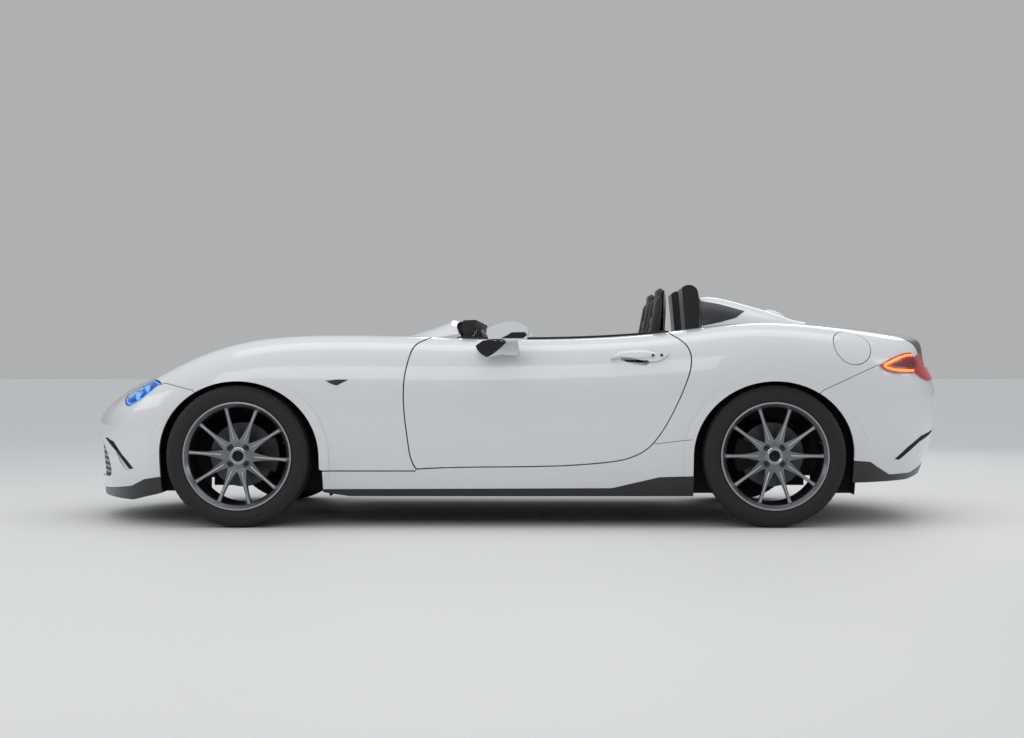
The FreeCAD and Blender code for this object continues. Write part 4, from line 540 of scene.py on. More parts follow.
def sweep(path: Array, section: Array, up: Array, closed: bool = False) -> Patch:
    """Carry a flat section along a path: point = path + side * a + top * b, for section (a, b).

    Args:
        path: points, (n, 3).
        section: closed outline, (m, 2).
        up: rough direction of the section's second axis.
        closed: whether the path runs round.

    Returns:
        The surface; an open path gets its ends drawn in to a point.
    """
    along = unit(np.roll(path, -1, 0) - np.roll(path, 1, 0) if closed else np.gradient(path, axis=0))
    side = unit(np.cross(along, np.broadcast_to(up, along.shape)))
    top = np.cross(side, along)
    grid = path[:, None] + side[:, None] * section[None, :, :1] + top[:, None] * section[None, :, 1:]
    return Patch(grid if closed else drawn_in(grid), closed, True)


def round_section(width: float, height: float, power: float = 2.0, count: int = 16) -> Array:
    """A rounded outline |a/w|^p + |b/h|^p = 1, in metres.

    Args:
        width: full width, millimetres.
        height: full height, millimetres.
        power: 2 is an ellipse, more is squarer.
        count: points.

    Returns:
        The outline, (count, 2).
    """
    a, b = rounded(count, 2 / power)
    return np.stack([a * width / 2, b * height / 2], 1) * MM


def lathe(profile: Pairs, centre: Array, axis: Array, count: int = 48) -> Patch:
    """Turn a profile about an axis: point = centre + axis * w + radius * (cos, sin).

    Args:
        profile: (radius, place along the axis) in millimetres.
        centre: metres.
        axis: direction.
        count: points round.

    Returns:
        The surface.
    """
    axis = np.asarray(axis, float) / np.linalg.norm(axis)
    first = unit(np.cross(axis, UPWARDS if abs(axis[2]) < 0.9 else REARWARDS))
    second = np.cross(axis, first)
    turn = circle(count)
    spokes = np.cos(turn)[:, None] * first + np.sin(turn)[:, None] * second
    profile = np.asarray(profile, float) * MM
    grid = np.asarray(centre) + profile[:, None, 1:] * axis + profile[:, None, :1] * spokes[None]
    return Patch(grid, False, True)


def sheet(face: Array, back: Array) -> list[Patch]:
    """A thin sheet: an open grid, another behind it, and a strip between them along each edge.

    Args:
        face: the front grid.
        back: the grid behind it, of the same rows and columns.

    Returns:
        Both grids and the four strips.
    """
    rims = [np.stack([face[k], back[k]]) for k in (0, -1)]
    rims += [np.stack([face[:, k], back[:, k]]) for k in (0, -1)]
    return [Patch(grid) for grid in (face, back, *rims)]


def dish(outer: Array, inner: Array) -> list[Patch]:
    """A thin dish: two grids of rings and the strip between their first rings."""
    return [Patch(grid, False, True) for grid in (outer, inner, np.stack([outer[0], inner[0]]))]


def pillow(path: Array, facing: Array, half_widths: Array, depths: Array, power: float, count: int,
           seams: Sequence[float] = (), seam_depth: float = 0.30) -> Patch:
    """A padded form along a path: each station a rounded section |a/w|^p + |b/d|^p = 1.

    Its ends close as quarter rounds, and seams pinch its depth in narrow bell curves.

    Args:
        path: station centres, (n, 3), metres.
        facing: the direction that its top faces at each station, (n, 3).
        half_widths: half width at each station, millimetres.
        depths: half depth at each station, millimetres.
        power: squareness of the section.
        count: points round.
        seams: places of the cross seams, as shares of the path.
        seam_depth: share of the depth that a seam pinches.

    Returns:
        The surface.
    """
    stations = len(path)
    share = np.linspace(0, 1, stations)
    end = np.minimum(share, 1 - share) * stations / END_STATIONS
    closing = np.sqrt(np.clip(1 - (1 - np.clip(end, 0, 1)) ** 2, 0, 1))
    pinch = np.ones(stations)
    for seam in seams:
        pinch -= seam_depth * np.exp(-((share - seam) * stations / SEAM_STATIONS) ** 2)
    across = unit(np.cross(unit(np.gradient(path, axis=0)), facing))
    a, b = rounded(count, 2 / power)
    widths = (half_widths * (END_WIDTH + END_SWELL * closing) * MM)[:, None, None]
    rises = (depths * closing * pinch * MM)[:, None, None]
    sides = across[:, None] * widths * a[None, :, None]
    return Patch(drawn_in(path[:, None] + sides + facing[:, None] * rises * b[None, :, None]), False, True)


def stitches(path: Array, facing: Array, length: float = 5.0, gap: float = 3.0,
             thick: float = 1.1) -> list[Patch]:
    """A row of thread stitches lying along a seam.

    Args:
        path: the seam, (n, 3), metres.
        facing: its outward direction, (3,).
        length: of one stitch, millimetres.
        gap: between stitches, millimetres.
        thick: thread thickness, millimetres.

    Returns:
        One small rounded surface a stitch.
    """
    far = distances(path)
    section = round_section(thick, thick, 2.0, 6)
    starts = np.arange(0, far[-1] - length * MM, (length + gap) * MM)
    return [sweep(walk(path, far, start + np.linspace(0, 1, 4) * length * MM), section, facing)
            for start in starts]


class Skin:
    """The outside of some CAD nodes, to lay pieces on."""

    def __init__(self, nodes: dict, *names: str) -> None:
        """Gather the nodes' triangles into one tree.

        Args:
            nodes: all CAD nodes by name.
            names: the ones to use.
        """
        corners, triangles, start = [], [], 0
        for name in names:
            mesh = nodes[name].data
            points = np.empty(len(mesh.vertices) * 3, np.float32)
            mesh.vertices.foreach_get("co", points)
            mesh.calc_loop_triangles()
            index = np.empty(len(mesh.loop_triangles) * 3, np.int32)
            mesh.loop_triangles.foreach_get("vertices", index)
            corners.append(points.reshape(-1, 3))
            triangles.append(index.reshape(-1, 3) + start)
            start += len(mesh.vertices)
        self.tree = BVHTree.FromPolygons(np.concatenate(corners).tolist(), np.concatenate(triangles).tolist())

    def nearest(self, points: Array) -> Array:
        """The skin's nearest point to each point."""
        return np.array([self.tree.find_nearest(Vector(point))[0] for point in points])

    def drape(self, points: Array, towards: Array, rise: float) -> Array:
        """Drop points onto the skin along one direction and lift them off it.

        Args:
            points: (..., 3), outside the skin.
            towards: direction of the drop.
            rise: height above the skin, millimetres.

        Returns:
            The landed points; one that misses goes to the skin's nearest point.
        """
        way = Vector(towards).normalized()
        flat = np.array(points, float).reshape(-1, 3)
        hits = [self.tree.ray_cast(Vector(point), way)[0] for point in flat]
        far = [(hit - Vector(point)).length for hit, point in zip(hits, flat) if hit is not None]
        middle = float(np.median(far)) if far else 0.0
        for k, hit in enumerate(hits):
            if hit is None:
                hit = self.tree.find_nearest(Vector(flat[k]) + way * middle)[0]
            flat[k] = np.array(hit) - np.array(way) * rise * MM
        return flat.reshape(np.shape(points))

    def spot(self, place: Sequence[float], towards: Array, rise: float) -> Array:
        """Where one place, in millimetres, lands on the skin, lifted by the rise."""
        return self.drape(np.array([place]) * MM, towards, rise)[0]

    def plate(self, edge: Array, towards: Array, rise: float, rows: int, sink: float = 0.5) -> Patch:
        """A thin plate on the skin inside an outline: rings drawn in towards its middle.

        Args:
            edge: closed outline, (n, 3), outside the skin.
            towards: direction of the drop.
            rise: thickness above the skin, millimetres.
            rows: rings from the edge to the middle.
            sink: how far its edge turns down into the skin, millimetres.

        Returns:
            The surface.
        """
        shares = np.linspace(0, 1, rows)[:, None, None]
        grid = edge[None] * (1 - shares) + edge.mean(0) * shares
        landed = self.drape(grid, towards, rise)
        return Patch(np.concatenate([self.drape(edge[None], towards, -sink), landed]), False, True)


# Pieces laid on the panels


@dataclass
class SkinPlate:
    """A thin plate inside an outline on both sides of the car, such as a lens or a trim panel.

    The word {side} in its node and body stands for left and right.
    """

    name: str
    node: str
    places: Pairs
    finish: Finish
    slot: str
    body: str = "chassis"
    rise: float = 1.2
    smooth: bool = False
    columns: int = 96
    rows: int = 14

    def build(self, nodes: dict) -> None:
        """Lay the plate on each side.

        Args:
            nodes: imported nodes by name.
        """
        for side in Side:
            skin = Skin(nodes, self.node.format(side=side.word))
            edge = outline(self.places, side, self.columns, self.smooth)
            plate = skin.plate(edge, side.inwards, self.rise, self.rows)
            body = self.body.format(side=side.word)
            build(f"{self.name}_{side.word}", [plate], self.finish, body)


@dataclass
class SkinLine:
    """A raised strip along a line on both sides of the car, such as a marker or a joint."""

    name: str
    node: str
    places: Pairs
    finish: Finish
    slot: str
    width: float
    height: float
    stations: int = 90

    def build(self, nodes: dict) -> None:
        """Lay the strip on each side.

        Args:
            nodes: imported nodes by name.
        """
        section = round_section(self.width, self.height, 3.0)
        for side in Side:
            skin = Skin(nodes, self.node.format(side=side.word))
            path = skin.drape(side_run(self.places, side, self.stations), side.inwards, 0.0)
            build(f"{self.name}_{side.word}", [sweep(path, section, side.out)], self.finish)


# Wheels


@dataclass
class Wheels:
    """Tyres with moulded sidewalls and tread, and each wheel's spoke ridges, cap, bolts and valve."""

    radius: float = 308.0
    width: float = 205.0
    # From the bead to the shoulder: (radius, share of the half width).
    sidewall: Pairs = ((231.0, 0.86), (236.0, 0.935), (243.0, 0.955), (246.0, 0.962), (247.5, 0.972),
                        (252.0, 0.982), (262.0, 0.995), (266.0, 1.0), (268.0, 0.988), (280.0, 0.983),
                        (283.0, 0.986), (285.0, 0.975), (296.0, 0.93), (302.0, 0.885), (304.5, 0.855))
    shoulder_share: float = 0.855
    crown_drop: float = 3.4
    crown_power: float = 2.6
    crown_rows: int = 97
    # Tread blocks round the tyre, and grid steps in each.
    pitches: int = 72
    pitch_steps: int = 7
    # Depths, then places and half widths as shares of the half width or of a block.
    groove: float = 6.5
    groove_shares: tuple[float, ...] = (-0.62, -0.21, 0.21, 0.62)
    groove_half_share: float = 0.038
    sipe: float = 4.0
    sipe_share: float = 0.15
    sipe_lean: float = 1.6
    sipe_end_share: float = 0.84
    sipe_fade_share: float = 0.02
    rib_share: float = 0.42
    rib_half_share: float = 0.1
    notch: float = 2.2
    notch_share: float = 0.25
    notch_end_shares: tuple[float, float] = (0.80, 0.93)
    notch_radius: float = 296.0

    spokes: int = 10
    front_turn: float = 4.4
    ridge_ends: tuple[float, float] = (72.0, 218.0)
    ridge_width: float = 7.0
    ridge_height: float = 5.6
    # How far outside the rim the ridges are drawn before they are laid on it.
    ridge_start: float = 200.0
    # Places along the axle, out from the wheel's middle.
    cap_face: float = 69.2
    bolt_face: float = 57.0
    valve_face: float = 60.0
    cap: Pairs = ((0.0, 2.6), (8.0, 2.5), (16.0, 2.0), (22.0, 1.2), (24.0, 0.2), (24.6, 0.0))
    cap_ring: Pairs = ((24.4, 0.0), (25.0, 3.0), (27.4, 4.2), (29.6, 3.0), (30.4, 0.0))
    collar: Pairs = ((31.6, -3.6), (32.0, 0.6), (34.0, 1.6), (36.4, 0.8), (37.6, -3.6))
    lip: Pairs = ((226.6, 97.2), (227.6, 98.9), (230.0, 99.4), (232.2, 98.9), (233.0, 97.0), (231.0, 96.0))
    bolts: int = 4
    bolt_circle: float = 50.0
    bolt: Pairs = ((0.0, 8.0), (5.0, 8.0), (6.9, 7.4), (8.5, 6.0), (8.8, 1.2), (10.1, 0.0))
    # A dark ring round each bolt head, painted as the shade in its pocket.
    bolt_pocket: Pairs = ((11.3, 0.0), (11.3, 9.2), (12.4, 9.9), (14.2, 9.6), (15.0, 8.4))
    valve_circle: float = 204.0
    valve_angle: float = 16.0
    valve: Pairs = ((0.0, 26.0), (3.4, 25.6), (4.0, 24.0), (4.0, 12.0), (5.6, 10.0), (6.0, 0.0))

    def build(self, nodes: dict) -> None:
        """Dress the four wheels.

        Args:
            nodes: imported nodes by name.
        """
        for end in End:
            for side in Side:
                name = f"{end.value}_tyre_{side.word}"
                low, high = (np.array(corner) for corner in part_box(name))
                centre = (low + high) / 2
                body = f"{end.value}_wheel_{side.word}"
                self.tyre(name, centre, body)
                self.hub(end, centre, side, body)
                self.ridges(nodes, end, centre, side, body)

    def tyre(self, node: str, centre: Array, body: str) -> None:
        """One tyre: radius over (across, round) = the section's, less grooves and staggered sipes.

        Args:
            node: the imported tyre's name.
            centre: wheel's middle, metres.
            body: body that it rides on.
        """
        half = self.width / 2
        wall = np.array(self.sidewall) * (1, half)
        across = np.linspace(self.shoulder_share, -self.shoulder_share, self.crown_rows)[1:-1] * half
        shoulder = half * self.shoulder_share
        crown = self.radius - self.crown_drop * np.abs(across / shoulder) ** self.crown_power
        rows = np.concatenate([wall, np.stack([crown, across], 1), wall[::-1] * (1, -1)])
        turn = circle(self.pitches * self.pitch_steps)
        place = rows[:, 1:] / half
        reach = np.abs(place)
        cut = np.zeros((len(rows), len(turn)))
        for groove_share in self.groove_shares:
            cut = np.maximum(cut, self.groove * (np.abs(place - groove_share) < self.groove_half_share))
        phase = (turn[None] * self.pitches / (2 * pi) + reach * self.sipe_lean + (place > 0) * 0.5) % 1.0
        sipes = (phase < self.sipe_share) & (np.abs(reach - self.rib_share) > self.rib_half_share)
        fade = np.clip((self.sipe_end_share - reach) / self.sipe_fade_share, 0, 1)
        cut = np.maximum(cut, self.sipe * sipes * fade)
        start, stop = self.notch_end_shares
        notches = (reach > start) & (reach < stop) & (rows[:, :1] > self.notch_radius)
        cut = np.maximum(cut, self.notch * notches * (phase < self.notch_share))
        radius = rows[:, :1] - cut
        grid = np.empty((*cut.shape, 3))
        grid[..., 0] = centre[0] + radius * np.cos(turn) * MM
        grid[..., 1] = centre[1] + rows[:, 1:] * MM
        grid[..., 2] = centre[2] + radius * np.sin(turn) * MM
        inner = grid[[-1, 0]].copy()
        patches = [Patch(grid, False, True), Patch(inner, False, True)]
        piece = build(node + "_tread", patches, tyre_rubber(node), body)
        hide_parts(node)

    def hub(self, end: End, centre: Array, side: Side, body: str) -> None:
        """Cap with its ring and collar, rim lip, bolt heads in their pockets, and a valve; the ring, collar
        and lip in a painted highlight, the pockets as dark rings of painted shade.

        Args:
            end: front or rear.
            centre: wheel's middle, metres.
            side: side of the car.
            body: body that it rides on.
        """
        axis = np.array(side.out)
        face = centre + axis * self.cap_face * MM
        tag = f"{end.value}_{side.word}"
        build(f"hub_cap_{tag}", [lathe(self.cap, face, axis)], BLACK_ZINC_AND_POCKET_SHADE, body)
        # The cap's ring and collar and the rim's lip wear a painted highlight.
        rings = [lathe(profile, face, axis) for profile in (self.cap_ring, self.collar)]
        build(f"cap_ring_{tag}", rings, PAINTED_HIGHLIGHT, body)
        build(f"rim_lip_{tag}", [lathe(self.lip, centre, axis, 120)], PAINTED_HIGHLIGHT, body)
        bolts_and_pocket_shade = []
        for k in range(self.bolts):
            angle = 2 * pi / self.bolts * (k + 0.5)
            out = np.array((np.cos(angle), 0, np.sin(angle)))
            spot = centre + out * self.bolt_circle * MM + axis * self.bolt_face * MM
            # Each bolt head gets a dark ring of painted pocket shade round it.
            bolts_and_pocket_shade += [lathe(self.bolt, spot, axis, 6), lathe(self.bolt_pocket, spot, axis, 32)]
        build(f"wheel_bolts_{tag}", bolts_and_pocket_shade, BLACK_ZINC_AND_POCKET_SHADE, body)
        angle = radians(self.valve_angle)
        out = np.array((np.cos(angle), 0, np.sin(angle)))
        stem = centre + out * self.valve_circle * MM + axis * self.valve_face * MM
        build(f"valve_{tag}", [lathe(self.valve, stem, axis, 16)], SEAL, body)

    def ridges(self, nodes: dict, end: End, centre: Array, side: Side, body: str) -> None:
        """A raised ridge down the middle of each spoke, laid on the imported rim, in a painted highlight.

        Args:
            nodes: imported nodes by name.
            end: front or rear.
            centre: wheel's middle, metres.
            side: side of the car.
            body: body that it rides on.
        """
        axis = np.array(side.out)
        skin = Skin(nodes, f"{end.value}_rim_{side.word}")
        turn = self.front_turn if end is End.FRONT else 0.0
        reach = np.linspace(*self.ridge_ends, 22)[:, None] * MM
        section = round_section(self.ridge_width, self.ridge_height, 1.7)
        bars = []
        for k in range(self.spokes):
            angle = radians(360.0 / self.spokes * (k + 0.5) + turn)
            out = np.array((np.sin(angle), 0.0, np.cos(angle)))
            path = centre + out * reach + axis * self.ridge_start * MM
            bars.append(sweep(skin.drape(path, -axis, 0.0), section, axis))
        # The ridges wear a painted highlight along the spokes' crests.
        build(f"spoke_ridges_{end.value}_{side.word}", bars, PAINTED_HIGHLIGHT, body)


# Seats


@dataclass(frozen=True)
class Form:
    """One form of a seat: its line in side view, and its section along that line.

    Half widths and half depths are (share of the line, millimetres), and seams are shares of it.
    Fill, how tightly a padded one is stuffed and none for a hard shell, is not used.
    """

    name: str
    line: Pairs
    stations: int
    half_widths: Pairs
    half_depths: Pairs
    power: float
    columns: int
    fill: float = 0.0
    offset: float = 0.0
    seams: tuple[float, ...] = ()


CUSHION_LINE = ((84.0, 318.0), (80.0, 352.0), (112.0, 374.0), (200.0, 378.0), (300.0, 366.0), (400.0, 346.0),
                (456.0, 336.0))
BACK_LINE = ((492.0, 362.0), (532.0, 430.0), (576.0, 530.0), (608.0, 645.0), (630.0, 760.0), (644.0, 860.0),
             (651.0, 922.0))
INSERTS = (
    Form("cushion_insert", CUSHION_LINE, 120, ((0, 168.0), (0.2, 176.0), (1, 158.0)), ((0, 34.0),), 3.4, 72,
         0.75, seams=(0.34, 0.50, 0.66, 0.82)),
    Form("back_insert", BACK_LINE, 150, ((0, 156.0), (0.55, 166.0), (1, 138.0)), ((0, 21.0),), 3.4, 72,
         0.7, seams=(0.16, 0.30, 0.44, 0.58, 0.72, 0.86)),
    Form("headrest", ((656.0, 918.0), (661.0, 955.0), (666.0, 1000.0), (670.0, 1046.0)), 60,
         ((0, 128.0), (0.5, 126.0), (1, 96.0)), ((0, 19.0),), 3.0, 64, 0.8))
BOLSTERS = (
    Form("cushion_bolster", ((96.0, 322.0), (92.0, 366.0), (130.0, 398.0), (240.0, 405.0), (350.0, 392.0),
                             (440.0, 372.0)), 90, ((0, 43.0),), ((0, 36.0),), 2.5, 40, 0.85, 204.0),
    Form("back_bolster", ((482.0, 396.0), (534.0, 490.0), (578.0, 605.0), (610.0, 725.0), (634.0, 840.0),
                          (648.0, 930.0), (658.0, 1005.0)), 110,
         ((0, 44.0), (0.5, 48.0), (0.85, 40.0), (1, 30.0)), ((0, 30.0), (0.25, 34.0), (0.6, 24.0), (1, 14.0)),
         2.5, 40, 0.85, 200.0))
SHELL = Form("seat_shell", ((588.0, 300.0), (616.0, 420.0), (643.0, 560.0), (662.0, 700.0), (675.0, 840.0),
                            (682.0, 950.0), (685.0, 1040.0)), 70,
             ((0, 206.0), (0.3, 228.0), (0.8, 196.0), (1, 110.0)), ((0, 8.0),), 4.0, 64)
PAN = Form("seat_pan", ((118.0, 262.0), (200.0, 240.0), (420.0, 232.0), (560.0, 250.0)), 50, ((0, 214.0),),
           ((0, 30.0),), 5.0, 56)


def measures(pairs: Pairs, count: int) -> Array:
    """Even measures in straight runs between (share, measure) pairs."""
    shares, sizes = zip(*pairs)
    return np.interp(np.linspace(0, 1, count), shares, sizes)


@dataclass
class Seat:
    """One bucket seat: cushion and back inserts with sewn channels, bolsters, headrest and shell."""

    side: Side
    middle: float = 360.0
    # Each row of stitches: the line that it follows, its offset, how far off that line it lies, the
    # station that it starts at, and the one whose facing it takes.
    threads: tuple[tuple[Pairs, float, float, int, int], ...] = (
        (BACK_LINE, 132.0, 21.4, 8, 40), (CUSHION_LINE, 136.0, 34.4, 12, 50))
    runner_places: tuple[float, ...] = (150.0, 300.0, 530.0)
    runner_offset: float = 178.0
    # Each rail's height above the ground and its width: the fixed one and the one that slides on it.
    runners: Pairs = ((180.0, 34.0), (196.0, 26.0))

    def line(self, places: Pairs, offset: float, count: int) -> tuple[Array, Array]:
        """Stations along a side-view line and the way that the seat's face looks there.

        Args:
            places: (x, z), millimetres, from the knees to the top.
            offset: distance outboard of the seat's middle, millimetres.
            count: stations.

        Returns:
            The stations and unit directions, each (count, 3).
        """
        path = side_run(places, self.side, count, self.middle + offset)
        facing = np.cross(unit(np.gradient(path, axis=0)), (0.0, 1.0, 0.0))
        return path, facing * np.sign((facing * (-0.6, 0.0, 0.8)).sum(1).mean())

    def surface(self, form: Form, sign: int = 1) -> Patch:
        """The surface of one form.

        Args:
            form: its measures.
            sign: which side of the seat's middle it is on.

        Returns:
            The surface.
        """
        path, facing = self.line(form.line, sign * form.offset, form.stations)
        widths, depths = (measures(pairs, form.stations) for pairs in (form.half_widths, form.half_depths))
        return pillow(path, facing, widths, depths, form.power, form.columns, form.seams)

    def pad(self, form: Form, sign: int = 1, ending: str = "") -> bpy.types.Object:
        """Args:
            form: its measures.
            sign: which side of the seat's middle it is on.
            ending: what its name says about that side.

        Returns:
            The object.
        """
        surface = self.surface(form, sign)
        piece = build(f"{form.name}{ending}_{self.side.word}", [surface], HIDE)
        return piece

    def build(self, nodes: dict) -> None:
        """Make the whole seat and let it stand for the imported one.

        Args:
            nodes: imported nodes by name.
        """
        inserts = [self.pad(form) for form in INSERTS]
        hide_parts(f"seat_{self.side.word}")
        rows = []
        for sign, ending in ((-1, "_inner"), (1, "_outer")):
            for form in BOLSTERS:
                self.pad(form, sign, ending)
            for places, offset, lift, start, facing in self.threads:
                seam, up = self.line(places, sign * offset, 80)
                rows += stitches(seam[start:-8] + up[start:-8] * lift * MM, up[facing])
        build(f"seat_stitches_{self.side.word}", rows, THREAD)
        self.shell()

    def shell(self) -> None:
        """Moulded backrest shell, a pan under the cushion and two runners on each side."""
        for form, finish in ((SHELL, GLOSS_ABS), (PAN, BLACK_ABS)):
            build(f"{form.name}_{self.side.word}", [self.surface(form)], finish)
        rails = []
        for sign in (-1, 1):
            for height, width in self.runners:
                places = [(x, height) for x in self.runner_places]
                path = self.line(places, sign * self.runner_offset, 24)[0]
                rails.append(sweep(path, round_section(width, 18.0, 6.0), UPWARDS))
        build(f"seat_runners_{self.side.word}", rails, CAST_ALLOY)


# Lamps


@dataclass
class Headlamp:
    """Blue bowl with a painted glow, two projectors, a lit guide round it, a lit blade and a clear cover."""

    side: Side
    rim: Pairs = ((-1713.0, 562.0), (-1684.0, 586.0), (-1655.0, 605.0), (-1626.0, 622.0), (-1596.0, 634.0),
                   (-1560.0, 632.0), (-1519.0, 620.0), (-1540.0, 603.0), (-1565.0, 584.0), (-1604.0, 554.0),
                   (-1644.0, 531.0), (-1671.0, 519.0), (-1703.0, 527.0), (-1712.0, 544.0))
    rim_share: float = 0.985
    guide_share: float = 0.90
    wall: float = 3.0
    bowl_lip: float = 3.5
    bowl_depth: float = 44.0
    guide_depth: float = 12.0
    blade: Pairs = ((-1690.0, 560.0), (-1655.0, 578.0), (-1620.0, 596.0), (-1585.0, 604.0))
    blade_depth: float = 18.0
    # Each projector's name, x, z and radius, and the way that both look.
    projectors: tuple[tuple[str, float, float, float], ...] = (("main", -1640.0, 562.0, 21.0),
                                                               ("dip", -1594.0, 594.0, 15.0))
    projector_depth: float = 30.0
    look: tuple[float, float, float] = (-0.72, 0.62, 0.12)

    def build(self, nodes: dict) -> None:
        """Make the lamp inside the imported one's place.

        Args:
            nodes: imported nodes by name.
        """
        node = f"headlamp_{self.side.word}"
        skin = Skin(nodes, node)
        edge = outline(self.rim, self.side, 120, False)
        middle = edge.mean(0)
        edge = middle + (edge - middle) * self.rim_share
        rows = np.linspace(0, 1, 16)[:, None, None]
        fan = edge[None] * (1 - rows) + middle * rows
        outer, inner = (skin.drape(fan, self.side.inwards, rise) for rise in (0.0, -self.wall))
        cover = build(f"headlamp_cover_{self.side.word}", dish(outer, inner), LENS)
        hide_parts(node)
        deep = self.bowl_lip + self.bowl_depth * np.clip(rows * 3.0, 0, 1) ** 0.6
        bowl = self.sunk(outer, deep[..., 0])
        # The bowl glows with painted light standing for the guides' light.
        build(f"headlamp_bowl_{self.side.word}", dish(bowl, self.sunk(bowl, self.wall)), BOWL_BLUE)
        self.guides(skin, middle + (edge - middle) * self.guide_share)
        self.lights(skin)

    def sunk(self, points: Array, depth: Array) -> Array:
        """Move points in towards the car.

        Args:
            points: metres.
            depth: how far, millimetres, one value or one a point.

        Returns:
            The moved points.
        """
        moved = points.copy()
        moved[..., 1] -= self.side.value * depth * MM
        return moved

    def guides(self, skin: Skin, ring: Array) -> None:
        """The lit guide round the bowl and the lit blade over the projectors.

        Args:
            skin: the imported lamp's outside.
            ring: the guide's outline.
        """
        path = self.sunk(skin.drape(ring, self.side.inwards, 0.0), self.guide_depth)
        guide = sweep(path, round_section(3.2, 3.2), self.side.out, True)
        build(f"headlamp_guide_{self.side.word}", [guide], GLOW_BLUE)
        path = skin.drape(side_run(self.blade, self.side, 40), self.side.inwards, 0.0)
        blade = sweep(self.sunk(path, self.blade_depth), round_section(5.0, 14.0, 3.0), self.side.out)
        build(f"headlamp_blade_{self.side.word}", [blade], GLOW_BLUE)

    def lights(self, skin: Skin) -> None:
        """Two projectors: a bright ring round a domed lens, both turned about the way they look.

        Args:
            skin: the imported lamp's outside.
        """
        axis = unit(np.array(self.look) * (1, self.side.value, 1))
        for tag, x, z, size in self.projectors:
            spot = skin.spot((x, OUTSIDE * self.side.value, z), self.side.inwards, 0.0)
            spot = self.sunk(spot, self.projector_depth)
            ring = ((size + 3.0, -16.0), (size + 4.0, 2.0), (size + 2.5, 4.0), (size, 2.0),
                    (size - 0.4, -3.0))
            dome = ((size - 0.4, -3.0), (size * 0.9, 3.0), (size * 0.7, 7.5), (size * 0.4, 10.5),
                    (0.0, 12.0))
            for word, profile, finish in (("ring", ring, CHROME), ("lens", dome, PROJECTOR)):
                build(f"projector_{tag}_{word}_{self.side.word}", [lathe(profile, spot, axis, 40)], finish)


@dataclass
class TailLamp:
    """Dark bowl laid on the red lamp, with a lit guide in the shape of a sideways U and reflectors."""

    side: Side
    guide: Pairs = ((1770.0, 742.0), (1740.0, 741.0), (1700.0, 731.0), (1652.0, 712.0), (1622.0, 697.0),
                     (1650.0, 683.0), (1700.0, 676.0), (1772.0, 674.0))
    bowl: Pairs = ((1784.0, 728.0), (1740.0, 726.0), (1690.0, 711.0), (1662.0, 699.0), (1700.0, 692.0),
                    (1784.0, 690.0))
    reflectors: Pairs = ((1722.0, 709.0), (1748.0, 710.0), (1774.0, 710.0))

    def build(self, nodes: dict) -> None:
        """Lay the bowl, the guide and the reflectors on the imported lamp.

        Args:
            nodes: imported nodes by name.
        """
        skin = Skin(nodes, f"tail_lamp_{self.side.word}")
        way = self.side.inwards
        # The bowl's faint glow is painted light from the guide.
        bowl = skin.plate(outline(self.bowl, self.side, 80), way, 0.8, 12)
        build(f"tail_bowl_{self.side.word}", [bowl], TAIL_BOWL)
        path = skin.drape(side_run(self.guide, self.side, 120), way, 0.4)
        guide = sweep(path, round_section(11.0, 3.0, 2.6), self.side.out)
        build(f"tail_guide_{self.side.word}", [guide], GLOW_RED)
        stud = ((0.0, 3.0), (5.0, 2.6), (8.0, 1.2), (9.0, -0.5))
        spots = [skin.spot((x, OUTSIDE * self.side.value, z), way, 0.8) for x, z in self.reflectors]
        studs = [lathe(stud, spot, self.side.out, 20) for spot in spots]
        build(f"tail_reflectors_{self.side.word}", studs, RED_LENS)


@dataclass
class DeckLamp:
    """Red lens on the rear of the small blister between the fairings."""

    half: float = 30.0
    foot: float = 919.0
    top: float = 926.0
    start: float = 1420.0

    def build(self, nodes: dict) -> None:
        """Lay the lens on the blister's rear.

        Args:
            nodes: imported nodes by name.
        """
        skin = Skin(nodes, "rear_deck")
        y, z = np.meshgrid(np.linspace(-self.half, self.half, 30), np.linspace(self.foot, self.top, 6),
                           indexing="ij")
        grid = np.stack([np.full(y.shape, self.start), y, z], -1) * MM
        face, back = (skin.drape(grid, FORWARDS, rise) for rise in (1.6, -0.5))
        build("high_stop_lamp", sheet(face, back), RED_LENS)


# Doors


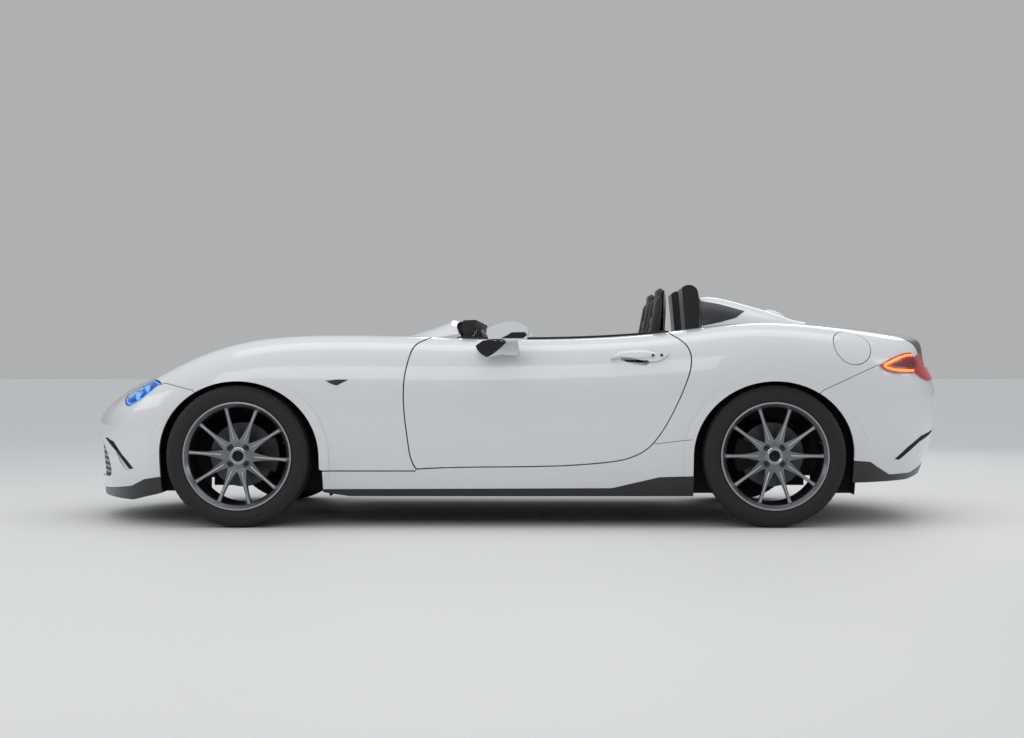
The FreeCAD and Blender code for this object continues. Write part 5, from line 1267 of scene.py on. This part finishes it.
@dataclass
class DoorCard:
    """Inner trim of a door: a moulded panel with an armrest, a pull and a speaker."""

    side: Side
    front: float = -318.0
    rear: float = 712.0
    foot: float = 318.0
    top: float = 792.0
    columns: int = 90
    rows: int = 60
    # The foot climbs by this much over a length that starts here.
    climb: float = 70.0
    climb_start: float = 520.0
    climb_length: float = 190.0
    armrest: float = 26.0
    armrest_height: float = 560.0
    armrest_half: float = 46.0
    # Where the armrest starts and over what length it swells, at the front and at the rear.
    armrest_front: tuple[float, float] = (-150.0, 120.0)
    armrest_rear: tuple[float, float] = (640.0, 90.0)
    speaker: tuple[float, float] = (-170.0, 430.0)
    speaker_rings: int = 9
    pull: Pairs = ((150.0, 636.0), (160.0, 654.0), (250.0, 660.0), (340.0, 654.0), (350.0, 636.0))

    def build(self, nodes: dict) -> None:
        """Lay the trim on the door's inner face.

        Args:
            nodes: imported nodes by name.
        """
        skin = Skin(nodes, f"door_{self.side.word}")
        body = f"door_{self.side.word}"
        build(f"door_card_{self.side.word}", self.card(skin), SOFT_SKIN, body)
        spot = skin.spot((self.speaker[0], INSIDE * self.side.value, self.speaker[1]), self.side.out, 3.0)
        rings = [(0.0, 1.2), (10.0, 1.6)]
        for k in range(self.speaker_rings):
            start = 14.0 + 6.0 * k
            rings += [(start, 1.6), (start + 1.0, 0.2), (start + 4.5, 0.2), (start + 5.5, 1.8)]
        rings += [(72.0, 3.4), (76.0, 3.0), (78.0, -1.0)]
        build(f"speaker_{self.side.word}", [lathe(rings, spot, self.side.inwards, 64)], BLACK_ABS,
              body)
        path = skin.drape(side_run(self.pull, self.side, 50, INSIDE), self.side.out, 0.0)
        path[:, 1] -= self.side.value * (4.0 + 26.0 * np.sin(np.linspace(0, pi, 50)) ** 0.5) * MM
        grip = sweep(path, round_section(16.0, 12.0, 2.4), self.side.inwards)
        build(f"door_pull_{self.side.word}", [grip], HIDE, body)

    def card(self, skin: Skin) -> list[Patch]:
        """The panel: a grid of (length, height) on the door, less the armrest's soft-edged box in y.

        Args:
            skin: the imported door.

        Returns:
            Its faces and rims.
        """
        x = np.linspace(self.front, self.rear, self.columns)[:, None]
        floor = self.foot + self.climb * np.clip((x - self.climb_start) / self.climb_length, 0, 1) ** 1.6
        heights = floor + (self.top - floor) * np.linspace(0.0, 1.0, self.rows)[None]
        grid = np.stack([np.broadcast_to(x, heights.shape), np.full(heights.shape, INSIDE * self.side.value),
                         heights], -1) * MM
        bulge = self.armrest * np.exp(-((heights - self.armrest_height) / self.armrest_half) ** 4)
        start, length = self.armrest_front
        bulge = bulge * np.clip((x - start) / length, 0, 1)
        start, length = self.armrest_rear
        bulge = bulge * np.clip((start - x) / length, 0, 1)
        face = skin.drape(grid, self.side.out, 3.0)
        face[..., 1] -= self.side.value * bulge * MM
        return sheet(face, skin.drape(grid, self.side.out, 0.3))


@dataclass
class DoorHandle:
    """Outer pull: a raised blade over its hollow, drawn as a black plate of painted shade, with its lock and
    a round switch behind it.
    """

    side: Side
    top: Pairs = ((437.0, 734.0), (455.0, 750.0), (500.0, 762.0), (570.0, 764.0), (628.0, 752.0))
    foot: Pairs = ((437.0, 728.0), (455.0, 724.0), (500.0, 723.0), (570.0, 726.0), (628.0, 733.0))
    # The hollow under the blade: a black plate laid on the door as painted shade.
    hollow: Pairs = ((491.0, 722.0), (497.0, 713.0), (560.0, 709.0), (590.0, 711.0), (592.0, 720.0),
                      (540.0, 722.0))
    locks: Pairs = ((613.0, 741.0), (650.0, 742.0))
    rise: float = 9.0
    lock_rise: float = 8.0

    def build(self, nodes: dict) -> None:
        """Make the handle on the door.

        Args:
            nodes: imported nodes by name.
        """
        skin = Skin(nodes, f"door_{self.side.word}")
        way = self.side.inwards
        body = f"door_{self.side.word}"
        build(f"handle_blade_{self.side.word}", self.blade(skin), PEARL, body)
        # A gloss black plate paints the shade of the hollow under the blade.
        hollow = skin.plate(outline(self.hollow, self.side, 64, False), way, 0.5, 6)
        build(f"handle_hollow_{self.side.word}", [hollow], GLOSS_ABS, body)
        button = ((0.0, 1.2), (4.5, 1.0), (6.0, 0.4), (6.4, -1.0))
        spots = [skin.spot((x, OUTSIDE * self.side.value, z), way, self.lock_rise) for x, z in self.locks]
        buttons = [lathe(button, spot, self.side.out, 24) for spot in spots]
        build(f"handle_locks_{self.side.word}", buttons, GLOSS_ABS, body)

    def blade(self, skin: Skin) -> list[Patch]:
        """The blade between two runs: rise = (1 - |along|^6) (1 - |across|^3.2), over a grid on the door.

        Args:
            skin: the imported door.

        Returns:
            Its outer and inner faces.
        """
        top, foot = (smooth_run(np.array(run), 60) for run in (self.top, self.foot))
        across = np.linspace(0, 1, 15)[None, :, None]
        flat = top[:, None] * across + foot[:, None] * (1 - across)
        y = np.full(flat.shape[:2], OUTSIDE * self.side.value)
        grid = np.stack([flat[..., 0], y, flat[..., 1]], -1) * MM
        along = np.linspace(-1, 1, 60)[:, None]
        crown = (1 - np.abs(along) ** 6) * (1 - np.abs(2 * across[..., 0] - 1) ** 3.2)
        face = skin.drape(grid, self.side.inwards, 0.0)
        inner = face.copy()
        face[..., 1] += self.side.value * self.rise * crown * MM
        inner[..., 1] -= self.side.value * MM
        return [Patch(face), Patch(inner)]


@dataclass
class MirrorGlass:
    """Silvered glass of a door mirror."""

    side: Side
    shift: float = 26.0
    height: float = 846.0
    half_width: float = 56.0
    half_height: float = 27.0
    start: float = 300.0

    def build(self, nodes: dict) -> None:
        """Lay the glass on the mirror's rear: a square grid bowed to an oval.

        A point (y, z) of the square goes to y * sqrt(1 - z^2 / 2) and z * sqrt(1 - y^2 / 2).

        Args:
            nodes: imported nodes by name.
        """
        node = f"mirror_{self.side.word}"
        skin = Skin(nodes, node)
        low, high = (np.array(corner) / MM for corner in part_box(node))
        middle = (abs(low[1]) + abs(high[1])) / 2 + self.shift
        y, z = np.meshgrid(np.linspace(-1, 1, 28), np.linspace(-1, 1, 16), indexing="ij")
        wide = middle + self.half_width * (y * np.sqrt(1 - z ** 2 / 2))
        tall = self.height + self.half_height * (z * np.sqrt(1 - y ** 2 / 2))
        grid = np.stack([np.full(y.shape, self.start), self.side.value * wide, tall], -1) * MM
        face, back = (skin.drape(grid, FORWARDS, rise) for rise in (2.0, -1.0))
        build(f"mirror_glass_{self.side.word}", sheet(face, back), MIRROR_GLASS,
              f"door_{self.side.word}")


@dataclass
class BeltSeal:
    """Rubber seal standing along the inner top edge of a door."""

    side: Side
    front: float = -218.0
    rear: float = 728.0
    inset: float = 656.0
    width: float = 11.0
    height: float = 15.0
    stations: int = 110

    def build(self, nodes: dict) -> None:
        """Stand the seal on the door.

        Args:
            nodes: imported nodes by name.
        """
        x = np.linspace(self.front, self.rear, self.stations)
        path = np.stack([x, np.full(len(x), self.inset * self.side.value), np.full(len(x), OVERHEAD)], 1) * MM
        path = Skin(nodes, f"door_{self.side.word}").drape(path, DOWNWARDS, 1.0)
        seal = sweep(path, round_section(self.width, self.height, 3.0), UPWARDS)
        build(f"belt_seal_{self.side.word}", [seal], SEAL, f"door_{self.side.word}")


# Dashboard, steering wheel, grille and vent


@dataclass
class SteeringTrim:
    """Driver's pad, spoke switches and a sewn seam on the steering wheel."""

    centre: tuple[float, float, float] = (-70.0, -360.0, 682.0)
    tilt: float = 24.0
    radius: float = 178.0
    seam_inset: float = 13.4
    pad: tuple[float, float] = (62.0, 54.0)
    # The pad's (share of its outline, rise) from its foot to its top.
    pad_rows: Pairs = ((1.0, 0.0), (1.02, 8.0), (0.98, 16.0), (0.86, 22.0), (0.6, 26.0), (0.3, 27.5),
                        (0.0, 28.0))
    switch: Pairs = ((0.0, 4.4), (3.6, 4.0), (5.0, 2.6), (5.2, -3.0))
    switch_place: float = 92.0
    switch_step: float = 13.0

    def build(self, nodes: dict) -> None:
        """Make the pieces on the wheel, in its own plane of across and up.

        Args:
            nodes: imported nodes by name.
        """
        lean = radians(self.tilt)
        axis = np.array((np.cos(lean), 0.0, np.sin(lean)))
        up = np.array((-np.sin(lean), 0.0, np.cos(lean)))
        across = np.array((0.0, 1.0, 0.0))
        centre = np.array(self.centre) * MM
        shape = np.stack(rounded(64, 0.8), 1) * self.pad
        rows = []
        for share, rise in self.pad_rows:
            flat = shape * share * MM
            rows.append(centre + flat[:, :1] * across + flat[:, 1:] * up + axis * rise * MM)
        pad = Patch(np.stack(rows), False, True)
        build("steering_pad", [pad], SOFT_SKIN, "steering_wheel")
        turn = circle(64)
        spokes = np.cos(turn)[:, None] * across + np.sin(turn)[:, None] * up
        ring = centre + spokes * (self.radius - self.seam_inset) * MM
        seam = np.concatenate([ring, ring[:1]])
        build("steering_stitches", stitches(seam + axis * 3.0 * MM, axis, 4.0, 3.0, 1.2), THREAD,
              "steering_wheel")
        switches = []
        for sign in (-1, 1):
            for step in (-1, 0, 1):
                spot = centre + across * sign * self.switch_place * MM + up * step * self.switch_step * MM
                switches.append(lathe(self.switch, spot + axis * 2.0 * MM, axis, 20))
        build("steering_switches", switches, GLOSS_ABS, "steering_wheel")


@dataclass
class DashTrim:
    """Three round dials under the hood, four round vents and the gear lever's pleated gaiter."""

    # Each dial's y, z and radius, and each vent's y and z.
    dials: tuple[tuple[float, float, float], ...] = ((-360.0, 838.0, 46.0), (-456.0, 832.0, 34.0),
                                                     (-264.0, 832.0, 34.0))
    vents: Pairs = ((-560.0, 752.0), (560.0, 752.0), (300.0, 752.0), (110.0, 764.0))
    start: float = 100.0
    # Angles in degrees from the left, round the top: the first mark, the step between marks, the needle.
    marks: int = 11
    first_mark: float = 225.0
    mark_step: float = 27.0
    needle: float = 205.0
    vent_ring: Pairs = ((27.0, -6.0), (28.0, 7.0), (31.0, 9.0), (34.0, 7.0), (35.0, -6.0))
    vent_hub: Pairs = ((0.0, 5.5), (7.0, 5.0), (8.0, 0.6), (26.0, 0.4), (28.0, -4.0))
    vent_radius: float = 26.0
    louvre_step: float = 9.0
    lever: float = 75.0
    gaiter_radius: float = 44.0
    gaiter_pleats: int = 8
    gaiter_rows: Pairs = ((1.0, -3.0), (1.0, 2.0), (0.92, 9.0), (0.74, 22.0), (0.55, 34.0), (0.4, 44.0),
                           (0.3, 50.0))

    def build(self, nodes: dict) -> None:
        """Make the pieces on the dashboard.

        Args:
            nodes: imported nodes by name.
        """
        skin = Skin(nodes, "dashboard")
        dials, rings, marks, vents = [], [], [], []
        for y, z, size in self.dials:
            spot = skin.spot((self.start, y, z), FORWARDS, 0.0)
            face = ((0.0, 3.0), (size - 4.0, 3.0), (size - 3.0, 1.0), (size - 2.0, -4.0))
            dials.append(lathe(face, spot, REARWARDS, 56))
            ring = ((size - 3.0, -4.0), (size - 3.0, 8.0), (size, 10.0), (size + 3.0, 8.0),
                    (size + 3.6, -4.0))
            rings.append(lathe(ring, spot, REARWARDS, 64))
            marks += self.marking(spot, size)
        for y, z in self.vents:
            spot = skin.spot((self.start, y, z), FORWARDS, 0.0)
            rings.append(lathe(self.vent_ring, spot, REARWARDS, 48))
            vents.append(lathe(self.vent_hub, spot, REARWARDS, 40))
            for step in (-2, -1, 1, 2):
                reach = np.sqrt(self.vent_radius ** 2 - (self.louvre_step * step) ** 2)
                path = np.linspace(spot - (0, reach * MM, 0), spot + (0, reach * MM, 0), 6)
                path = path + np.array((0.0035, 0, self.louvre_step * step * MM))
                vents.append(sweep(path, round_section(1.8, 5.0, 4.0, 10), REARWARDS))
        build("dial_faces", dials, GLOSS_ABS)
        build("dial_rings", rings, CHROME)
        build("dial_marks", marks, DIAL_WHITE)
        build("air_vents", vents, BLACK_ABS)
        self.gaiter(skin)

    def marking(self, spot: Array, size: float) -> list[Patch]:
        """The marks and the needle of one dial: short bars along its radii.

        Args:
            spot: the dial's middle, metres.
            size: its radius, millimetres.

        Returns:
            One surface a bar.
        """
        bars = []
        for k in range(self.marks):
            out = self.radial(self.first_mark - self.mark_step * k)
            path = np.linspace(spot + out * (size - 12.0) * MM, spot + out * (size - 6.0) * MM, 3)
            bars.append(sweep(path + np.array((0.0034, 0, 0)), round_section(1.4, 0.8, 4.0, 8), REARWARDS))
        path = np.linspace(spot, spot + self.radial(self.needle) * (size - 10.0) * MM, 4)
        bars.append(sweep(path + np.array((0.0048, 0, 0)), round_section(2.0, 1.0, 4.0, 8), REARWARDS))
        return bars

    def radial(self, angle: float) -> Array:
        """Unit direction on a dial's face at an angle in degrees."""
        return np.array((0.0, -np.cos(radians(angle)), np.sin(radians(angle))))

    def gaiter(self, skin: Skin) -> None:
        """A pleated gaiter: radius = share * (1 + pleat * cos(8 turn)), deeper where it narrows.

        Args:
            skin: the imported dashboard.
        """
        foot = skin.spot((self.lever + 46.0, 0.0, 900.0), DOWNWARDS, 0.0)
        spot = np.array((self.lever * MM, 0.0, foot[2]))
        turn = circle(80)
        rows = []
        for share, rise in self.gaiter_rows:
            pleat = 1 + 0.07 * np.cos(turn * self.gaiter_pleats) * (1 - share) * 2.2
            radius = self.gaiter_radius * share * pleat
            flat = [radius * 1.15 * np.cos(turn), radius * np.sin(turn), np.full(80, rise)]
            rows.append(spot + np.stack(flat, 1) * MM)
        build("lever_gaiter", [Patch(np.stack(rows), False, True)], HIDE)


@dataclass
class Grille:
    """Level bars across the mouth in front of the grille."""

    half: float = 470.0
    heights: tuple[float, ...] = (216.0, 240.0, 264.0, 288.0, 312.0, 336.0)
    middle_height: float = 262.0
    start: float = -2600.0
    stations: int = 60

    def build(self, nodes: dict) -> None:
        """Make the bars, shorter away from the mouth's middle height.

        Args:
            nodes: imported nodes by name.
        """
        skin = Skin(nodes, "grille")
        count = self.stations
        bars = []
        for height in self.heights:
            reach = self.half - 40.0 * abs(height - self.middle_height) / 74.0
            path = np.stack([np.full(count, self.start), np.linspace(-reach, reach, count),
                             np.full(count, height)], 1) * MM
            path = skin.drape(path, REARWARDS, -1.0)
            bars.append(sweep(path, round_section(7.0, 9.0, 3.0, 12), UPWARDS))
        build("grille_bars", bars, GLOSS_ABS)


@dataclass
class CowlVent:
    """Slatted black vent that fills the curved slot between the bonnet and the scuttle."""

    half: float = 392.0
    rear: float = -556.0
    deep: float = 17.0
    slats: int = 5
    stations: int = 81
    bonnet_gap: float = 4.0
    least_length: float = 3.0
    slope: float = 0.10
    wall: float = 3.0
    slat_drop: float = 9.0

    def build(self, nodes: dict) -> None:
        """Fit the vent's front to the bonnet's rear edge.

        Args:
            nodes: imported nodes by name.
        """
        y = np.linspace(-self.half, self.half, self.stations)
        over = np.stack([np.full(len(y), self.rear + 6.0), y, np.full(len(y), OVERHEAD)], 1) * MM
        back = Skin(nodes, "scuttle").drape(over, DOWNWARDS, 0.0)
        back[:, 0] = self.rear * MM
        front = Skin(nodes, "bonnet").nearest(back)
        front[:, 0] = np.minimum(front[:, 0] + self.bonnet_gap * MM, back[:, 0] - self.least_length * MM)
        front[:, 1] = back[:, 1]
        front[:, 2] = back[:, 2] - (back[:, 0] - front[:, 0]) * self.slope
        share = np.linspace(0, 1, 5)[:, None, None]
        floor = back[None] * (1 - share) + front[None] * share - (0.0, 0.0, self.deep * MM)
        under = floor[::-1] - (0.0, 0.0, self.wall * MM)
        bars = [Patch(np.concatenate([floor, under]), True, False)]
        for k in range(self.slats):
            place = (k + 0.5) / self.slats
            path = back * (1 - place) + front * place - (0.0, 0.0, self.slat_drop * MM)
            bars.append(sweep(path[6:-6], round_section(2.6, 13.0, 4.0, 12), UPWARDS))
        build("cowl_vent", bars, BLACK_ABS)


PARTS = (
    Wheels(),
    *(kind(side) for kind in (Seat, Headlamp, TailLamp, DoorCard, DoorHandle, MirrorGlass) for side in Side),
    SteeringTrim(), DashTrim(), Grille(), DeckLamp(), CowlVent(),
    SkinPlate("repeater", "wing_{side}", ((-792.0, 632.0), (-742.0, 637.0), (-696.0, 636.0), (-718.0, 625.0),
                                          (-744.0, 612.0), (-766.0, 618.0)), SMOKED, "black_trim", rise=2.0),
    SkinPlate("front_slot_liner", "front_bumper", ((-1838.0, 370.0), (-1774.0, 360.0), (-1708.0, 299.0),
                                                   (-1656.0, 245.0), (-1680.0, 242.0), (-1728.0, 290.0),
                                                   (-1784.0, 351.0)), GAP_BLACK, "black_trim", rise=0.6),
    SkinPlate("rear_slot_liner", "rear_bumper", ((1682.0, 286.0), (1748.0, 338.0), (1820.0, 384.0),
                                                 (1912.0, 408.0), (1912.0, 396.0), (1826.0, 366.0),
                                                 (1758.0, 318.0), (1706.0, 282.0)), GAP_BLACK, "black_trim",
              rise=0.6),
    SkinPlate("fairing_panel", "rear_deck", ((852.0, 988.0), (930.0, 974.0), (1048.0, 942.0), (1004.0, 911.0),
                                             (930.0, 890.0), (852.0, 874.0)), SATIN_BLACK,
              "satin_black_panel", rise=1.5),
    SkinPlate("mirror_arm_cover", "mirror_{side}", ((-146.0, 783.0), (-118.0, 803.0), (-60.0, 809.0),
                                                    (-16.0, 803.0), (-40.0, 772.0), (-96.0, 734.0),
                                                    (-128.0, 752.0)), GLOSS_ABS, "black_trim", "door_{side}",
              1.0, smooth=True),
    SkinPlate("mirror_strip", "mirror_{side}", ((-36.0, 812.0), (-6.0, 826.0), (10.0, 837.0), (66.0, 838.0),
                                                (76.0, 826.0), (58.0, 812.0)), GLOSS_ABS, "black_trim",
              "door_{side}", 1.0),
    SkinLine("fairing_edge", "rear_deck", ((854.0, 984.0), (854.0, 930.0), (854.0, 880.0)), SATIN_BLACK,
             "satin_black_panel", 10.0, 4.0),
    *(BeltSeal(side) for side in Side),
    SkinLine("front_marker", "front_bumper", ((-1478.0, 486.0), (-1521.0, 452.0), (-1556.0, 391.0),
                                              (-1561.0, 361.0), (-1536.0, 344.0)), PEARL, "pearl_paint",
             5.0, 2.0),
    SkinLine("rear_marker", "rear_bumper", ((1466.0, 486.0), (1506.0, 452.0), (1540.0, 391.0),
                                            (1546.0, 361.0), (1522.0, 344.0)), PEARL, "pearl_paint",
             5.0, 2.0),
    SkinLine("sill_joint", "body_side_{side}", ((618.0, 360.0), (700.0, 370.0), (782.0, 379.0)), GAP_BLACK,
             "black_trim", 2.2, 1.0),
)


# The car and the studio


@dataclass
class Dressing:
    """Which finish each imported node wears."""

    finishes: dict[str, Finish] = field(default_factory=lambda: {
        "body_side": PEARL, "wing": PEARL, "door": PEARL, "bonnet": PEARL, "front_bumper": PEARL,
        "rear_bumper": PEARL, "rear_deck": PEARL, "scuttle": PEARL, "fuel_flap": PEARL, "mirror": PEARL,
        "boot_lid": SATIN_BLACK, "front_splitter": SATIN_BLACK, "side_skirt": SATIN_BLACK,
        "rear_diffuser": SATIN_BLACK, "grille": BLACK_ABS, "head_pod": POD_BLACK, "dashboard": SOFT_SKIN,
        "seat": HIDE, "steering_wheel": HIDE, "headlamp": LENS, "tail_lamp": RED_LENS,
        "underbody": UNDERSEAL, "engine_block": CAST_ALLOY, "front_suspension": UNDERSEAL,
        "rear_suspension": UNDERSEAL, "knuckle": CAST_IRON})

    def dress(self, nodes: dict) -> None:
        """Give each node its finish; tyres and discs get rings about their own axles.

        Args:
            nodes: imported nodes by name.
        """
        for name, node in nodes.items():
            finish = self.finish(name, name.removesuffix("_left").removesuffix("_right"))
            node.data.materials.clear()
            node.data.materials.append(finish.build())
            LOG.info("%s wears %s", name, finish.name)

    def finish(self, name: str, stem: str) -> Finish:
        """Finish of one node.

        Args:
            name: node name.
            stem: node name without its side.

        Returns:
            The finish.
        """
        if stem.endswith("tyre"):
            return tyre_rubber(name)
        if stem.endswith("disc"):
            return turned_iron(name)
        return WHEEL_GREY if stem.endswith("rim") else self.finishes[stem]


@dataclass
class Studio:
    """Floor, backdrop, lights and the photograph's camera, in metres."""

    eye: tuple[float, float, float] = (0.201, -8.24, 0.7166)
    focal: float = 60.61
    shift: tuple[float, float] = (-0.0439, -0.0078)
    floor_colour: str = "#E0E0DE"
    floor_half: float = 60.0
    soft_colour: str = "#E4E7EC"
    # The soft light grows between two heights of the direction, from one strength to the other.
    soft_heights: tuple[float, float] = (-0.05, 0.85)
    soft_strengths: tuple[float, float] = (0.42, 0.92)
    wall_colour: str = "#E3E4E5"
    wall_strength: float = 0.56

    def build(self) -> None:
        """Make everything round the car."""
        self.floor()
        self.sky()
        self.lights()
        self.camera()

    def floor(self) -> None:
        """A plain pale floor, with the car's shadow on it."""
        edge = np.linspace(-self.floor_half, self.floor_half, 9)
        grid = np.stack(np.meshgrid(edge, edge, indexing="ij") + [np.zeros((9, 9))], -1)
        mesh = bpy.data.meshes.new("floor")
        mesh.from_pydata(grid.reshape(-1, 3).tolist(), [], Patch(grid).faces(0).tolist())
        floor = bpy.data.objects.new("floor", mesh)
        bpy.context.scene.collection.objects.link(floor)
        # Trowelled, sealed concrete: pale, almost dull, with slow cloudy patches.
        finish = Finish("trowelled_pale_concrete", self.floor_colour, 0.6, grain=30.0, depth=0.05, drift=0.02)
        mesh.materials.append(finish.build())

    def sky(self) -> None:
        """Soft light, weak at the horizon and strong overhead, with a pale plain wall for the eye."""
        world = bpy.data.worlds.new("studio")
        bpy.context.scene.world = world
        world.use_nodes = True
        tree = world.node_tree
        tree.nodes.clear()
        path = add(tree, "LightPath")
        place = add(tree, "TexCoord")
        height = add(tree, "SeparateXYZ", links={0: place.outputs["Generated"]})
        low, high = self.soft_heights
        weak, strong = self.soft_strengths
        power = add(tree, "MapRange", {"interpolation_type": "SMOOTHSTEP", "From Min": low, "From Max": high,
                                       "To Min": weak, "To Max": strong}, {"Value": height.outputs[2]})
        soft = add(tree, "Background", {"Color": linear(self.soft_colour)}, {"Strength": power.outputs[0]})
        wall = add(tree, "Background", {"Color": linear(self.wall_colour), "Strength": self.wall_strength})
        clear = add(tree, "Math", {"operation": "MAXIMUM"},
                    {0: path.outputs["Is Camera Ray"], 1: path.outputs["Is Transmission Ray"]})
        both = add(tree, "MixShader", links={0: clear.outputs[0], 1: soft.outputs[0], 2: wall.outputs[0]})
        add(tree, "OutputWorld", links={"Surface": both.outputs[0]})

    def lights(self) -> None:
        """Large soft boxes: one long one overhead, one each side, one at the nose and one at the tail."""
        boxes = (
            ("overhead", (0.1, -0.4, 4.2), (0.1, 0.0, 0.6), (6.0, 2.2), 48.0),
            ("near_side", (-1.6, -5.6, 2.9), (0.0, 0.0, 0.5), (5.0, 1.6), 46.0),
            ("far_side", (1.5, 5.4, 3.0), (0.0, 0.0, 0.6), (5.0, 1.6), 40.0),
            ("nose_side", (-6.0, -1.5, 2.2), (-1.0, 0.0, 0.5), (2.6, 1.6), 26.0),
            ("tail_side", (6.0, -1.2, 2.4), (1.0, 0.0, 0.5), (2.6, 1.6), 26.0))
        for name, place, target, size, power in boxes:
            light = bpy.data.lights.new(name, "AREA")
            light.shape = "RECTANGLE"
            light.size, light.size_y = size
            light.energy = power
            lamp = bpy.data.objects.new(name, light)
            lamp.location = place
            lamp.rotation_euler = (Vector(target) - Vector(place)).to_track_quat("-Z", "Y").to_euler()
            bpy.context.scene.collection.objects.link(lamp)

    def camera(self) -> None:
        """A level camera square to the left-hand side, as far off as the photograph's."""
        data = bpy.data.cameras.new("camera")
        data.lens = self.focal
        data.sensor_width = 36.0
        data.shift_x, data.shift_y = self.shift
        camera = bpy.data.objects.new("camera", data)
        camera.location = self.eye
        camera.rotation_euler = (pi / 2, 0.0, 0.0)
        bpy.context.scene.collection.objects.link(camera)
        bpy.context.scene.camera = camera
        bpy.context.scene.view_settings.view_transform = "Standard"


def main() -> None:
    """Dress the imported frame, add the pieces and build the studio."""
    logging.basicConfig(level=logging.INFO, format="%(message)s")
    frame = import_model()
    nodes = frame["nodes"]
    Dressing().dress(nodes)
    for part in PARTS:
        part.build(nodes)
    Studio().build()
    bpy.context.view_layer.update()


if __name__ == "__main__":
    main()
